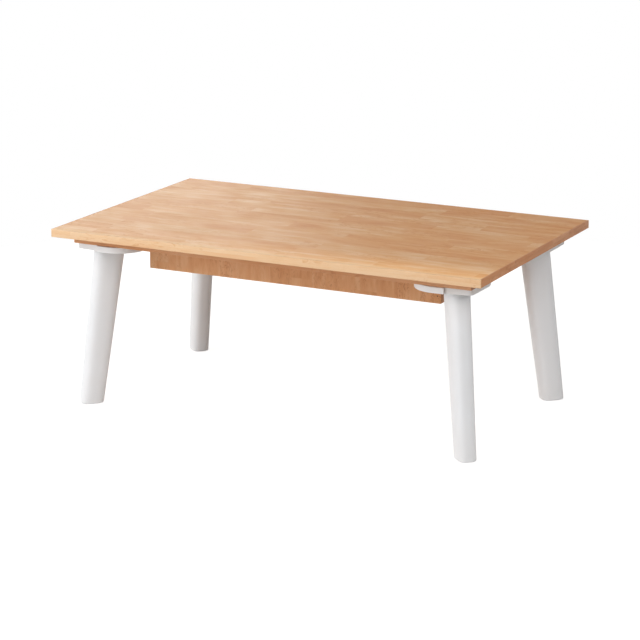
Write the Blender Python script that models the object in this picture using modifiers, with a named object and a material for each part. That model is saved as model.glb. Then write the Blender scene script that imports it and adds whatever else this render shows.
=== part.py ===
"""Low floor table of the heated kind: a loose top board on a shallow frame with a boxed heater.

Metres, +Z up. The origin is on the floor under the middle of the table, X runs along the table,
and the front is towards -Y.
"""

import math

import bmesh
import bpy
from mathutils import Matrix, Vector

# Fits between pieces
FIT_GAP = 0.0003
HOLE_CLEARANCE = 0.0004

# Top board
TABLE_HEIGHT = 0.397
TOP_LENGTH = 1.000
TOP_DEPTH = 0.600
TOP_THICKNESS = 0.0175
EDGE_BAND_THICKNESS = 0.003
EDGE_BAND_ROUNDING = 0.0012

# Anti-slip pads between the frame and the loose top board
PAD_DIAMETER = 0.024
PAD_THICKNESS = 0.001
PAD_SET_IN = 0.022

# Frame under the top board
FRAME_SET_IN = 0.035
FRAME_THICKNESS = 0.015
FRAME_ROUNDING = 0.001
RAIL_LEDGE = 0.015
HEATER_RAIL_WIDTH = 0.050

# Box of apron boards under the frame, set in from the frame's edges
APRON_END_SET_IN = 0.118
APRON_SIDE_SET_IN = 0.119
APRON_HEIGHT = 0.0685
APRON_THICKNESS = 0.016
APRON_ROUNDING = 0.0008

# Seat plates, measured inwards from the frame's corner
SEAT_THICKNESS = 0.013
SEAT_REACH = 0.146
SEAT_ROUND_RADIUS = 0.058
SEAT_EDGE_SET_IN = 0.0005
SEAT_NOSE_SET_IN = 0.010
SEAT_NOSE_SIDE_SET_IN = 0.006
SEAT_NOSE_RADIUS = 0.011
SEAT_STEP_FROM_CORNER = 0.057
SEAT_STEP_SLIT_WIDTH = 0.0014
SEAT_STEP_SLIT_DEPTH = 0.008
SEAT_ROUNDING = 0.0012
SEAT_APRON_CLEARANCE = 0.003

# Screws that hold the seat plates to the frame
SEAT_SCREW_ALONG = 0.112
SEAT_SCREW_ACROSS = 0.042
SEAT_SCREW_DIAMETER = 0.004
SEAT_SCREW_HEAD_DIAMETER = 0.008
SEAT_SCREW_HEAD_HEIGHT = 0.0026
SEAT_SCREW_BITE = 0.010

# Legs: oval sections with the long side on the corner's diagonal
LEG_TOP_SET_IN = 0.0557
LEG_SPLAY_ALONG = 0.0374
LEG_SPLAY_ACROSS = 0.0298
LEG_TOP_LONG = 0.068
LEG_TOP_SHORT = 0.051
LEG_FOOT_LONG = 0.054
LEG_FOOT_SHORT = 0.0445
LEG_FOOT_ROUNDING = 0.0025

# Foot glides, let into the feet
GLIDE_DIAMETER = 0.030
GLIDE_THICKNESS = 0.004
GLIDE_STANDING_PROUD = 0.001

# Leg bolts and their nuts in the frame's upper face
BOLT_DIAMETER = 0.008
BOLT_LENGTH_IN_LEG = 0.045
NUT_ACROSS_FLATS = 0.013
NUT_HEIGHT = 0.0065
NUT_BELOW_FRAME_TOP = 0.001
NUT_POCKET_DIAMETER = 0.022

# Heater in the box
HEATER_LENGTH = 0.260
HEATER_SIDE_CLEARANCE = 0.025
HEATER_RECESS = 0.014
HEATER_SHEET = 0.0012
HEATER_FLANGE_WIDTH = 0.032
GUARD_THICKNESS = 0.0015
GUARD_BORDER = 0.012
GUARD_SLOT_WIDTH = 0.009
GUARD_BAR_WIDTH = 0.004
TUBE_DIAMETER = 0.010
TUBE_CAP_DIAMETER = 0.014
TUBE_CAP_LENGTH = 0.016
TUBE_END_BEYOND_WALL = 0.003
TUBE_SPACING = 0.090
TUBE_BELOW_TOP = 0.026
REFLECTOR_SHEET = 0.0008
REFLECTOR_RISE = 0.020
REFLECTOR_SIDE_CLEARANCE = 0.008
REFLECTOR_END_CLEARANCE = 0.020
THERMOSTAT_DIAMETER = 0.018
THERMOSTAT_HEIGHT = 0.008
INLET_WIDTH = 0.036
INLET_HEIGHT = 0.024
INLET_DEPTH = 0.020
INLET_WALL = 0.004
INLET_SOCKET_DEPTH = 0.016
INLET_PIN_DIAMETER = 0.004
INLET_PIN_LENGTH = 0.009
INLET_PIN_SPACING = 0.013
HEATER_SCREW_DIAMETER = 0.004
HEATER_SCREW_HEAD_DIAMETER = 0.009
HEATER_SCREW_HEAD_HEIGHT = 0.003
HEATER_SCREW_BITE = 0.010

# Heights and half sizes that follow from the sizes above
TOP_BOTTOM = TABLE_HEIGHT - TOP_THICKNESS
FRAME_TOP = TOP_BOTTOM - PAD_THICKNESS - 2 * FIT_GAP
FRAME_BOTTOM = FRAME_TOP - FRAME_THICKNESS
SEAT_TOP = FRAME_BOTTOM - FIT_GAP
SEAT_BOTTOM = SEAT_TOP - SEAT_THICKNESS
LEG_TOP = SEAT_BOTTOM - FIT_GAP
LEG_BOTTOM = GLIDE_STANDING_PROUD
APRON_TOP = FRAME_BOTTOM - FIT_GAP
APRON_BOTTOM = APRON_TOP - APRON_HEIGHT
FRAME_HALF_LENGTH = TOP_LENGTH / 2 - FRAME_SET_IN
FRAME_HALF_DEPTH = TOP_DEPTH / 2 - FRAME_SET_IN
APRON_HALF_LENGTH = FRAME_HALF_LENGTH - APRON_END_SET_IN
APRON_HALF_DEPTH = FRAME_HALF_DEPTH - APRON_SIDE_SET_IN
LONG_RAIL_WIDTH = APRON_SIDE_SET_IN + APRON_THICKNESS + RAIL_LEDGE
END_RAIL_WIDTH = APRON_END_SET_IN + APRON_THICKNESS + RAIL_LEDGE
OPENING_HALF_DEPTH = FRAME_HALF_DEPTH - LONG_RAIL_WIDTH
HEATER_TOP = FRAME_BOTTOM - FIT_GAP
HEATER_BOTTOM = APRON_BOTTOM + HEATER_RECESS
HEATER_HALF_DEPTH = APRON_HALF_DEPTH - APRON_THICKNESS - HEATER_SIDE_CLEARANCE
HEATER_RAIL_CENTRE = HEATER_LENGTH / 2 + HEATER_FLANGE_WIDTH / 2

CORNERS = {
    "front_left": (-1, -1),
    "front_right": (1, -1),
    "back_left": (-1, 1),
    "back_right": (1, 1),
}

# Fineness of the round shapes, and the angles that tell flat, crisp and smooth edges apart
ROUND_FACETS = 16
LEG_FACETS = 40
SEAT_ROUND_FACETS = 14
SEAT_NOSE_FACETS = 5
REFLECTOR_FACETS = 12
ROUNDING_SEGMENTS = 2
WELD_DISTANCE = 0.00001
FLAT_ANGLE = math.radians(1)
CRISP_ANGLE = math.radians(40)
SMOOTH_ANGLE = math.radians(35)
ANCHOR_SIZE = 0.05


def clear_scene():
    for old in list(bpy.data.objects):
        bpy.data.objects.remove(old, do_unlink=True)


def new_collection(name):
    collection = bpy.data.collections.new(name)
    bpy.context.scene.collection.children.link(collection)
    return collection


def new_material(name, colour, roughness, metallic=0.0):
    material = bpy.data.materials.new(name)
    material.use_nodes = True
    shader = material.node_tree.nodes["Principled BSDF"]
    shader.inputs["Base Color"].default_value = (*colour, 1.0)
    shader.inputs["Roughness"].default_value = roughness
    shader.inputs["Metallic"].default_value = metallic
    return material


clear_scene()
TABLE = new_collection("low_floor_table")
CUTTERS = new_collection("cutters")

BOARD_WOOD = new_material("board_wood", (0.66, 0.40, 0.19), 0.45)
EDGE_WOOD = new_material("edge_wood", (0.68, 0.42, 0.20), 0.45)
FRAME_WOOD = new_material("frame_wood", (0.52, 0.28, 0.11), 0.5)
APRON_WOOD = new_material("apron_wood", (0.50, 0.26, 0.10), 0.5)
WHITE_PAINT = new_material("white_paint", (0.84, 0.83, 0.81), 0.4)
PLAIN_STEEL = new_material("plain_steel", (0.55, 0.55, 0.56), 0.35, 1.0)
PAD_RUBBER = new_material("pad_rubber", (0.20, 0.19, 0.18), 0.8)
GLIDE_PLASTIC = new_material("glide_plastic", (0.62, 0.60, 0.56), 0.55)
HEATER_SHEET_METAL = new_material("heater_sheet_metal", (0.10, 0.10, 0.105), 0.5, 0.6)
BRIGHT_SHEET = new_material("bright_sheet", (0.80, 0.80, 0.80), 0.2, 1.0)
HEATER_GLASS = new_material("heater_glass", (0.75, 0.35, 0.22), 0.2)
BLACK_PLASTIC = new_material("black_plastic", (0.03, 0.03, 0.032), 0.45)


def new_anchor(name, location):
    anchor = bpy.data.objects.new(name, None)
    anchor.empty_display_size = ANCHOR_SIZE
    anchor.location = location
    TABLE.objects.link(anchor)
    return anchor


FRAME_ANCHOR = new_anchor("frame_anchor", (0, 0, 0))
# The top board lifts straight up from its rest on the frame.
TOP_LIFT = new_anchor("top_lift", (0, 0, TOP_BOTTOM))
bpy.context.view_layer.update()


def link_piece(name, mesh, material, centre, anchor=None):
    """A piece of the table, placed at its centre and carried by an anchor."""
    anchor = anchor or FRAME_ANCHOR
    piece = bpy.data.objects.new(name, mesh)
    mesh.name = name
    mesh.materials.clear()
    mesh.materials.append(material)
    TABLE.objects.link(piece)
    piece.parent = anchor
    piece.location = Vector(centre) - anchor.location
    return piece


def link_cutter(name, mesh, centre):
    cutter = bpy.data.objects.new(name, mesh)
    CUTTERS.objects.link(cutter)
    cutter.location = centre
    cutter.hide_render = True
    cutter.display_type = "WIRE"
    return cutter


def combine(piece, other, operation="DIFFERENCE"):
    boolean = piece.modifiers.new(other.name, "BOOLEAN")
    boolean.operation = operation
    boolean.object = other


def round_edges(piece, width):
    bevel = piece.modifiers.new("rounded_edges", "BEVEL")
    bevel.width = width
    bevel.segments = ROUNDING_SEGMENTS
    bevel.limit_method = "ANGLE"
    bevel.angle_limit = CRISP_ANGLE


def round_chosen_edges(mesh, width, chosen):
    """Rounds the crisp edges of a mesh whose two ends are both chosen."""
    shape = bmesh.new()
    shape.from_mesh(mesh)
    bmesh.ops.dissolve_limit(shape, angle_limit=FLAT_ANGLE, verts=shape.verts, edges=shape.edges)
    crisp = [edge for edge in shape.edges if edge.calc_face_angle(0) > CRISP_ANGLE]
    edges = [edge for edge in crisp if all(chosen(vert.co) for vert in edge.verts)]
    bmesh.ops.bevel(shape, geom=edges, offset=width, segments=ROUNDING_SEGMENTS, profile=0.5, affect="EDGES")
    shape.to_mesh(mesh)
    shape.free()
    return mesh


def mesh_from(build_shape):
    """A mesh filled by a function that works on its edit mesh."""
    mesh = bpy.data.meshes.new("shape")
    shape = bmesh.new()
    build_shape(shape)
    bmesh.ops.recalc_face_normals(shape, faces=shape.faces)
    shape.to_mesh(mesh)
    shape.free()
    return mesh


def box_mesh(size):
    def build_shape(shape):
        bmesh.ops.create_cube(shape, size=1.0)
        bmesh.ops.scale(shape, vec=Vector(size), verts=shape.verts)

    return mesh_from(build_shape)


def rod_mesh(diameter, length, axis="Z"):
    def build_shape(shape):
        radius = diameter / 2
        bmesh.ops.create_cone(
            shape, cap_ends=True, segments=ROUND_FACETS, radius1=radius, radius2=radius, depth=length)
        if axis == "X":
            turn = Matrix.Rotation(math.radians(90), 3, "Y")
            bmesh.ops.rotate(shape, matrix=turn, verts=shape.verts)

    return mesh_from(build_shape)


def smooth_sides(piece):
    piece.data.shade_smooth()
    piece.data.set_sharp_from_angle(angle=SMOOTH_ANGLE)


def arc(centre, radius, start, end, facets):
    """Points on an arc, from a start to an end angle in degrees."""
    points = []
    for step in range(facets + 1):
        angle = math.radians(start + (end - start) * step / facets)
        points.append((centre[0] + radius * math.cos(angle), centre[1] + radius * math.sin(angle)))
    return points


def rectangle(left, right, reach):
    """Corners of a rectangle between two ends, that reaches as far to the front as to the back."""
    return [(left, -reach), (right, -reach), (right, reach), (left, reach)]


def outline_mesh(loops, thickness):
    """A flat plate from closed outlines, the first the outer edge and the others its holes."""
    curve = bpy.data.curves.new("outline", "CURVE")
    curve.dimensions = "2D"
    curve.fill_mode = "BOTH"
    curve.extrude = thickness / 2
    for loop in loops:
        spline = curve.splines.new("POLY")
        spline.points.add(len(loop) - 1)
        spline.use_cyclic_u = True
        for point, (x, y) in zip(spline.points, loop):
            point.co = (x, y, 0, 1)
    drawn = bpy.data.objects.new("outline", curve)
    bpy.context.scene.collection.objects.link(drawn)
    evaluated = drawn.evaluated_get(bpy.context.evaluated_depsgraph_get())
    mesh = bpy.data.meshes.new_from_object(evaluated)
    bpy.data.objects.remove(drawn, do_unlink=True)
    shape = bmesh.new()
    shape.from_mesh(mesh)
    bmesh.ops.remove_doubles(shape, verts=shape.verts, dist=WELD_DISTANCE)
    bmesh.ops.recalc_face_normals(shape, faces=shape.faces)
    shape.to_mesh(mesh)
    shape.free()
    return mesh


def turned_mesh(profile, axis="Z"):
    """A turned solid from (radius, height) points that run from the top to the bottom of its axis."""
    line = bpy.data.meshes.new("profile")
    points = [(radius, 0, height) for radius, height in profile]
    line.from_pydata(points, [(index, index + 1) for index in range(len(points) - 1)], [])
    drawn = bpy.data.objects.new("profile", line)
    bpy.context.scene.collection.objects.link(drawn)
    screw = drawn.modifiers.new("turned", "SCREW")
    screw.steps = ROUND_FACETS
    screw.render_steps = ROUND_FACETS
    screw.use_merge_vertices = True
    screw.merge_threshold = WELD_DISTANCE
    evaluated = drawn.evaluated_get(bpy.context.evaluated_depsgraph_get())
    mesh = bpy.data.meshes.new_from_object(evaluated)
    bpy.data.objects.remove(drawn, do_unlink=True)
    shape = bmesh.new()
    shape.from_mesh(mesh)
    bmesh.ops.remove_doubles(shape, verts=shape.verts, dist=WELD_DISTANCE)
    bmesh.ops.recalc_face_normals(shape, faces=shape.faces)
    if axis == "X":
        bmesh.ops.rotate(shape, matrix=Matrix.Rotation(math.radians(90), 3, "Y"), verts=shape.verts)
    shape.to_mesh(mesh)
    shape.free()
    return mesh


def build_top_board():
    """The core of the loose top board, with an edge band glued to each side."""
    middle = (TABLE_HEIGHT + TOP_BOTTOM) / 2
    band_space = EDGE_BAND_THICKNESS + FIT_GAP
    core_size = (TOP_LENGTH - 2 * band_space, TOP_DEPTH - 2 * band_space, TOP_THICKNESS)
    link_piece("top_board_core", box_mesh(core_size), BOARD_WOOD, (0, 0, middle), TOP_LIFT)
    side_reach = TOP_DEPTH / 2 - EDGE_BAND_THICKNESS / 2
    end_reach = TOP_LENGTH / 2 - EDGE_BAND_THICKNESS / 2
    long_band = (TOP_LENGTH, EDGE_BAND_THICKNESS, TOP_THICKNESS)
    end_band = (EDGE_BAND_THICKNESS, TOP_DEPTH - 2 * band_space, TOP_THICKNESS)
    for name, size, x, y in (
            ("edge_band_front", long_band, 0, -side_reach),
            ("edge_band_back", long_band, 0, side_reach),
            ("edge_band_left", end_band, -end_reach, 0),
            ("edge_band_right", end_band, end_reach, 0)):
        outward = Vector((x, y, 0))
        band = round_chosen_edges(box_mesh(size), EDGE_BAND_ROUNDING, lambda point: point.dot(outward) > 0)
        link_piece(name, band, EDGE_WOOD, (x, y, middle), TOP_LIFT)


def build_pads():
    height = FRAME_TOP + FIT_GAP + PAD_THICKNESS / 2
    for corner, (side, front) in CORNERS.items():
        x = side * (FRAME_HALF_LENGTH - PAD_SET_IN)
        y = front * (FRAME_HALF_DEPTH - PAD_SET_IN)
        disc = rod_mesh(PAD_DIAMETER, PAD_THICKNESS)
        pad = link_piece(f"anti_slip_pad_{corner}", disc, PAD_RUBBER, (x, y, height))
        smooth_sides(pad)


def build_frame():
    """Two long rails, two end rails between them and two rails that carry the heater."""
    middle = (FRAME_TOP + FRAME_BOTTOM) / 2
    rails = {}
    long_size = (2 * FRAME_HALF_LENGTH, LONG_RAIL_WIDTH, FRAME_THICKNESS)
    long_reach = FRAME_HALF_DEPTH - LONG_RAIL_WIDTH / 2
    end_size = (END_RAIL_WIDTH, 2 * (OPENING_HALF_DEPTH - FIT_GAP), FRAME_THICKNESS)
    end_reach = FRAME_HALF_LENGTH - END_RAIL_WIDTH / 2
    heater_size = (HEATER_RAIL_WIDTH, 2 * (OPENING_HALF_DEPTH - FIT_GAP), FRAME_THICKNESS)
    for name, size, x, y in (
            ("frame_rail_front", long_size, 0, -long_reach),
            ("frame_rail_back", long_size, 0, long_reach),
            ("frame_rail_left", end_size, -end_reach, 0),
            ("frame_rail_right", end_size, end_reach, 0),
            ("heater_rail_left", heater_size, -HEATER_RAIL_CENTRE, 0),
            ("heater_rail_right", heater_size, HEATER_RAIL_CENTRE, 0)):
        rails[name] = link_piece(name, box_mesh(size), FRAME_WOOD, (x, y, middle))
        round_edges(rails[name], FRAME_ROUNDING)
    return rails


def build_aprons():
    """Four boards that make an open box under the frame's middle."""
    middle = (APRON_TOP + APRON_BOTTOM) / 2
    long_size = (2 * APRON_HALF_LENGTH, APRON_THICKNESS, APRON_HEIGHT)
    long_reach = APRON_HALF_DEPTH - APRON_THICKNESS / 2
    end_size = (APRON_THICKNESS, 2 * (APRON_HALF_DEPTH - APRON_THICKNESS - FIT_GAP), APRON_HEIGHT)
    end_reach = APRON_HALF_LENGTH - APRON_THICKNESS / 2
    for name, size, x, y in (
            ("apron_front", long_size, 0, -long_reach),
            ("apron_back", long_size, 0, long_reach),
            ("apron_left", end_size, -end_reach, 0),
            ("apron_right", end_size, end_reach, 0)):
        apron = link_piece(name, box_mesh(size), APRON_WOOD, (x, y, middle))
        round_edges(apron, APRON_ROUNDING)


def seat_outline():
    """The plate's edge, as distances inwards from the frame's corner along and across the table.

    It runs from the step beside the leg, along the flush wing to its round end, straight across to
    the other wing's round end, and back past the nose over the leg.
    """
    near = SEAT_EDGE_SET_IN + SEAT_ROUND_RADIUS
    far = SEAT_REACH - SEAT_ROUND_RADIUS
    nose = (SEAT_NOSE_SIDE_SET_IN + SEAT_NOSE_RADIUS, SEAT_NOSE_SET_IN + SEAT_NOSE_RADIUS)
    points = [(SEAT_STEP_FROM_CORNER, SEAT_EDGE_SET_IN)]
    points += arc((far, near), SEAT_ROUND_RADIUS, -90, 45, SEAT_ROUND_FACETS)
    points += arc((near, far), SEAT_ROUND_RADIUS, 45, 180, SEAT_ROUND_FACETS)
    points.append((SEAT_EDGE_SET_IN, SEAT_STEP_FROM_CORNER))
    points += arc(nose, SEAT_NOSE_RADIUS, 180, 270, SEAT_NOSE_FACETS)
    points.append((SEAT_STEP_FROM_CORNER, SEAT_NOSE_SET_IN))
    return points


def build_seats(rails):
    """A white plate under each corner of the frame, screwed to it beside the leg."""
    seats = {}
    apron_size = (
        2 * (APRON_HALF_LENGTH + SEAT_APRON_CLEARANCE),
        2 * (APRON_HALF_DEPTH + SEAT_APRON_CLEARANCE),
        2 * SEAT_THICKNESS)
    apron_space = link_cutter("apron_space", box_mesh(apron_size), (0, 0, (SEAT_TOP + SEAT_BOTTOM) / 2))
    for corner, (side, front) in CORNERS.items():
        corner_x = side * FRAME_HALF_LENGTH
        corner_y = front * FRAME_HALF_DEPTH
        loop = [(-side * along, -front * across) for along, across in seat_outline()]
        middle = (SEAT_TOP + SEAT_BOTTOM) / 2
        plate = outline_mesh([loop], SEAT_THICKNESS)
        round_chosen_edges(plate, SEAT_ROUNDING, lambda point: point.z < 0)
        seat = link_piece(f"seat_plate_{corner}", plate, WHITE_PAINT, (corner_x, corner_y, middle))
        slit_x = corner_x - side * (SEAT_STEP_FROM_CORNER - SEAT_STEP_SLIT_WIDTH / 2)
        slit_size = (SEAT_STEP_SLIT_WIDTH, 2 * SEAT_STEP_SLIT_DEPTH, 2 * SEAT_THICKNESS)
        slit = link_cutter(f"seat_slit_{corner}", box_mesh(slit_size),
                           (slit_x, corner_y - front * SEAT_NOSE_SET_IN, middle))
        combine(seat, slit)
        combine(seat, apron_space)
        seats[corner] = seat
        rail = rails["frame_rail_front" if front < 0 else "frame_rail_back"]
        places = {
            "along": (SEAT_SCREW_ALONG, SEAT_SCREW_ACROSS),
            "across": (SEAT_SCREW_ACROSS, SEAT_SCREW_ALONG),
        }
        for wing, (along, across) in places.items():
            place = (corner_x - side * along, corner_y - front * across, SEAT_BOTTOM)
            build_seat_screw(f"seat_screw_{corner}_{wing}", place, (seat, rail))
    return seats


def countersunk_profile(growth):
    """A countersunk screw seen from its point down to its head, grown all round by a clearance."""
    shank = SEAT_SCREW_DIAMETER / 2 + growth
    head = SEAT_SCREW_HEAD_DIAMETER / 2 + growth
    point = SEAT_THICKNESS + FIT_GAP + SEAT_SCREW_BITE + growth
    return [(0, point), (shank, point), (shank, SEAT_SCREW_HEAD_HEIGHT), (head, -growth), (0, -growth)]


def build_seat_screw(name, place, held):
    hole = link_cutter(f"{name}_hole", turned_mesh(countersunk_profile(HOLE_CLEARANCE)), place)
    for piece in held:
        combine(piece, hole)
    screw = link_piece(name, turned_mesh(countersunk_profile(0)), PLAIN_STEEL, place)
    smooth_sides(screw)


def leg_mesh():
    """An oval tapered leg for the back right corner, leaning out to its foot and cut level at both ends."""
    height = LEG_TOP - LEG_BOTTOM
    diagonal = Matrix.Rotation(math.radians(45), 3, "Z")

    def build_shape(shape):
        bmesh.ops.create_cone(
            shape, cap_ends=True, segments=LEG_FACETS, radius1=0.5, radius2=0.5, depth=height)
        for vert in shape.verts:
            upper = vert.co.z > 0
            long_side = LEG_TOP_LONG if upper else LEG_FOOT_LONG
            short_side = LEG_TOP_SHORT if upper else LEG_FOOT_SHORT
            section = diagonal @ Vector((vert.co.x * long_side, vert.co.y * short_side, 0))
            lean = Vector((0, 0)) if upper else Vector((LEG_SPLAY_ALONG, LEG_SPLAY_ACROSS))
            vert.co = (section.x + lean.x, section.y + lean.y, 0 if upper else -height)

    return round_chosen_edges(mesh_from(build_shape), LEG_FOOT_ROUNDING, lambda point: point.z < -height / 2)


def mirrored(mesh, side, front):
    """The mesh of the back right corner, mirrored into another corner."""
    copy = mesh.copy()
    copy.transform(Matrix.Diagonal((side, front, 1, 1)))
    if side * front < 0:
        copy.flip_normals()
    return copy


def build_legs(rails, seats):
    """Each leg hangs on a bolt through its seat plate and the long rail, with a glide let into its foot."""
    pattern = leg_mesh()
    for corner, (side, front) in CORNERS.items():
        x = side * (FRAME_HALF_LENGTH - LEG_TOP_SET_IN)
        y = front * (FRAME_HALF_DEPTH - LEG_TOP_SET_IN)
        leg = link_piece(f"leg_{corner}", mirrored(pattern, side, front), WHITE_PAINT, (x, y, LEG_TOP))
        smooth_sides(leg)
        rail = rails["frame_rail_front" if front < 0 else "frame_rail_back"]
        build_leg_bolt(corner, x, y, (leg, seats[corner], rail))
        foot_x = x + side * LEG_SPLAY_ALONG
        foot_y = y + front * LEG_SPLAY_ACROSS
        build_glide(corner, foot_x, foot_y, leg)
    bpy.data.meshes.remove(pattern)


def build_leg_bolt(corner, x, y, held):
    """A bolt in the leg's top, and its nut in a pocket of the rail above."""
    nut_top = FRAME_TOP - NUT_BELOW_FRAME_TOP
    nut_bottom = nut_top - NUT_HEIGHT
    bolt_bottom = LEG_TOP - BOLT_LENGTH_IN_LEG
    hole_radius = BOLT_DIAMETER / 2 + HOLE_CLEARANCE
    pocket_floor = nut_bottom - FIT_GAP
    above = FRAME_TOP + FRAME_THICKNESS
    hole_profile = [
        (0, above),
        (NUT_POCKET_DIAMETER / 2, above),
        (NUT_POCKET_DIAMETER / 2, pocket_floor),
        (hole_radius, pocket_floor),
        (hole_radius, bolt_bottom - FIT_GAP),
        (0, bolt_bottom - FIT_GAP),
    ]
    hole = link_cutter(f"leg_bolt_{corner}_hole", turned_mesh(hole_profile), (x, y, 0))
    for piece in held:
        combine(piece, hole)
    bolt_length = nut_top - bolt_bottom
    bolt = link_piece(f"leg_bolt_{corner}", rod_mesh(BOLT_DIAMETER, bolt_length), PLAIN_STEEL,
                      (x, y, (nut_top + bolt_bottom) / 2))
    smooth_sides(bolt)
    flats_to_points = NUT_ACROSS_FLATS / math.cos(math.radians(30)) / 2
    hexagon = arc((0, 0), flats_to_points, 0, 300, 5)
    thread = arc((0, 0), hole_radius, 0, 360 - 360 / ROUND_FACETS, ROUND_FACETS - 1)
    link_piece(f"leg_nut_{corner}", outline_mesh([hexagon, thread], NUT_HEIGHT), PLAIN_STEEL,
               (x, y, (nut_top + nut_bottom) / 2))


def build_glide(corner, x, y, leg):
    recess_diameter = GLIDE_DIAMETER + 2 * HOLE_CLEARANCE
    recess_top = GLIDE_THICKNESS + FIT_GAP
    recess_bottom = -GLIDE_THICKNESS
    recess = link_cutter(f"glide_{corner}_recess", rod_mesh(recess_diameter, recess_top - recess_bottom),
                         (x, y, (recess_top + recess_bottom) / 2))
    combine(leg, recess)
    glide = link_piece(f"foot_glide_{corner}", rod_mesh(GLIDE_DIAMETER, GLIDE_THICKNESS), GLIDE_PLASTIC,
                       (x, y, GLIDE_THICKNESS / 2))
    smooth_sides(glide)


def build_heater(rails):
    """A sheet-metal tray under the heater rails, open below, with its tubes behind a guard."""
    depth = 2 * HEATER_HALF_DEPTH
    flange_length = HEATER_LENGTH + 2 * HEATER_FLANGE_WIDTH
    tray_height = HEATER_TOP - HEATER_BOTTOM - HEATER_SHEET / 2
    tray_middle = HEATER_BOTTOM + tray_height / 2
    flange = link_cutter("heater_flange", box_mesh((flange_length, depth, HEATER_SHEET)),
                         (0, 0, HEATER_TOP - HEATER_SHEET / 2))
    cavity_size = (HEATER_LENGTH - 2 * HEATER_SHEET, depth - 2 * HEATER_SHEET, 2 * tray_height)
    cavity_top = HEATER_TOP - HEATER_SHEET
    cavity = link_cutter("heater_cavity", box_mesh(cavity_size), (0, 0, cavity_top - tray_height))
    housing = link_piece("heater_housing", box_mesh((HEATER_LENGTH, depth, tray_height)), HEATER_SHEET_METAL,
                         (0, 0, tray_middle))
    combine(housing, flange, "UNION")
    combine(housing, cavity)
    build_tubes(housing)
    build_reflector(cavity_top)
    build_guard()
    build_inlet()
    thermostat_bottom = HEATER_TOP + FIT_GAP
    button = rod_mesh(THERMOSTAT_DIAMETER, THERMOSTAT_HEIGHT)
    thermostat = link_piece("heater_thermostat", button, BLACK_PLASTIC,
                            (0, 0, thermostat_bottom + THERMOSTAT_HEIGHT / 2))
    smooth_sides(thermostat)
    for end, side in (("left", -1), ("right", 1)):
        for row, front in (("front", -1), ("back", 1)):
            place = (side * HEATER_RAIL_CENTRE, front * HEATER_HALF_DEPTH / 2, HEATER_TOP - HEATER_SHEET)
            build_heater_screw(f"heater_screw_{row}_{end}", place, (housing, rails[f"heater_rail_{end}"]))


def build_tubes(housing):
    """Two heating tubes whose capped ends sit in holes in the tray's end walls."""
    height = HEATER_TOP - TUBE_BELOW_TOP
    half = HEATER_LENGTH / 2 + TUBE_END_BEYOND_WALL
    shoulder = half - TUBE_CAP_LENGTH
    cap = TUBE_CAP_DIAMETER / 2
    glass = TUBE_DIAMETER / 2
    profile = [(0, half), (cap, half), (cap, shoulder), (glass, shoulder)]
    profile += [(radius, -level) for radius, level in reversed(profile)]
    for row, front in (("front", -1), ("back", 1)):
        place = (0, front * TUBE_SPACING / 2, height)
        hole_length = HEATER_LENGTH + 4 * TUBE_CAP_LENGTH
        drill = rod_mesh(TUBE_CAP_DIAMETER + 2 * FIT_GAP, hole_length, "X")
        hole = link_cutter(f"heater_tube_{row}_hole", drill, place)
        combine(housing, hole)
        tube = link_piece(f"heater_tube_{row}", turned_mesh(profile, "X"), HEATER_GLASS, place)
        smooth_sides(tube)


def build_reflector(ceiling):
    """A bright sheet, arched under the tray's top and behind the tubes."""
    half = HEATER_HALF_DEPTH - HEATER_SHEET - REFLECTOR_SIDE_CLEARANCE
    radius = (half * half + REFLECTOR_RISE * REFLECTOR_RISE) / (2 * REFLECTOR_RISE)
    spread = math.degrees(math.asin(half / radius))
    crown = ceiling - FIT_GAP
    outer = arc((0, -radius), radius, 90 - spread, 90 + spread, REFLECTOR_FACETS)
    inner = arc((0, -radius), radius - REFLECTOR_SHEET, 90 + spread, 90 - spread, REFLECTOR_FACETS)
    length = HEATER_LENGTH - 2 * HEATER_SHEET - 2 * REFLECTOR_END_CLEARANCE
    arch = outline_mesh([outer + inner], length)
    reflector = link_piece("heater_reflector", arch, BRIGHT_SHEET, (0, 0, crown))
    # The arch is drawn flat, so it is stood up with its length along the table.
    reflector.rotation_euler = (math.radians(90), 0, math.radians(90))


def build_guard():
    """A slotted sheet that closes the tray's mouth."""
    length = HEATER_LENGTH - 2 * HEATER_SHEET - 2 * FIT_GAP
    depth = 2 * (HEATER_HALF_DEPTH - HEATER_SHEET - FIT_GAP)
    loops = [rectangle(-length / 2, length / 2, depth / 2)]
    pitch = GUARD_SLOT_WIDTH + GUARD_BAR_WIDTH
    slots = int((length - 2 * GUARD_BORDER + GUARD_BAR_WIDTH) / pitch)
    reach = depth / 2 - GUARD_BORDER
    first = -(slots - 1) * pitch / 2
    for index in range(slots):
        left = first + index * pitch - GUARD_SLOT_WIDTH / 2
        right = left + GUARD_SLOT_WIDTH
        loops.append(rectangle(left, right, reach))
    link_piece("heater_guard", outline_mesh(loops, GUARD_THICKNESS), HEATER_SHEET_METAL,
               (0, 0, HEATER_BOTTOM + GUARD_THICKNESS / 2))


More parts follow.
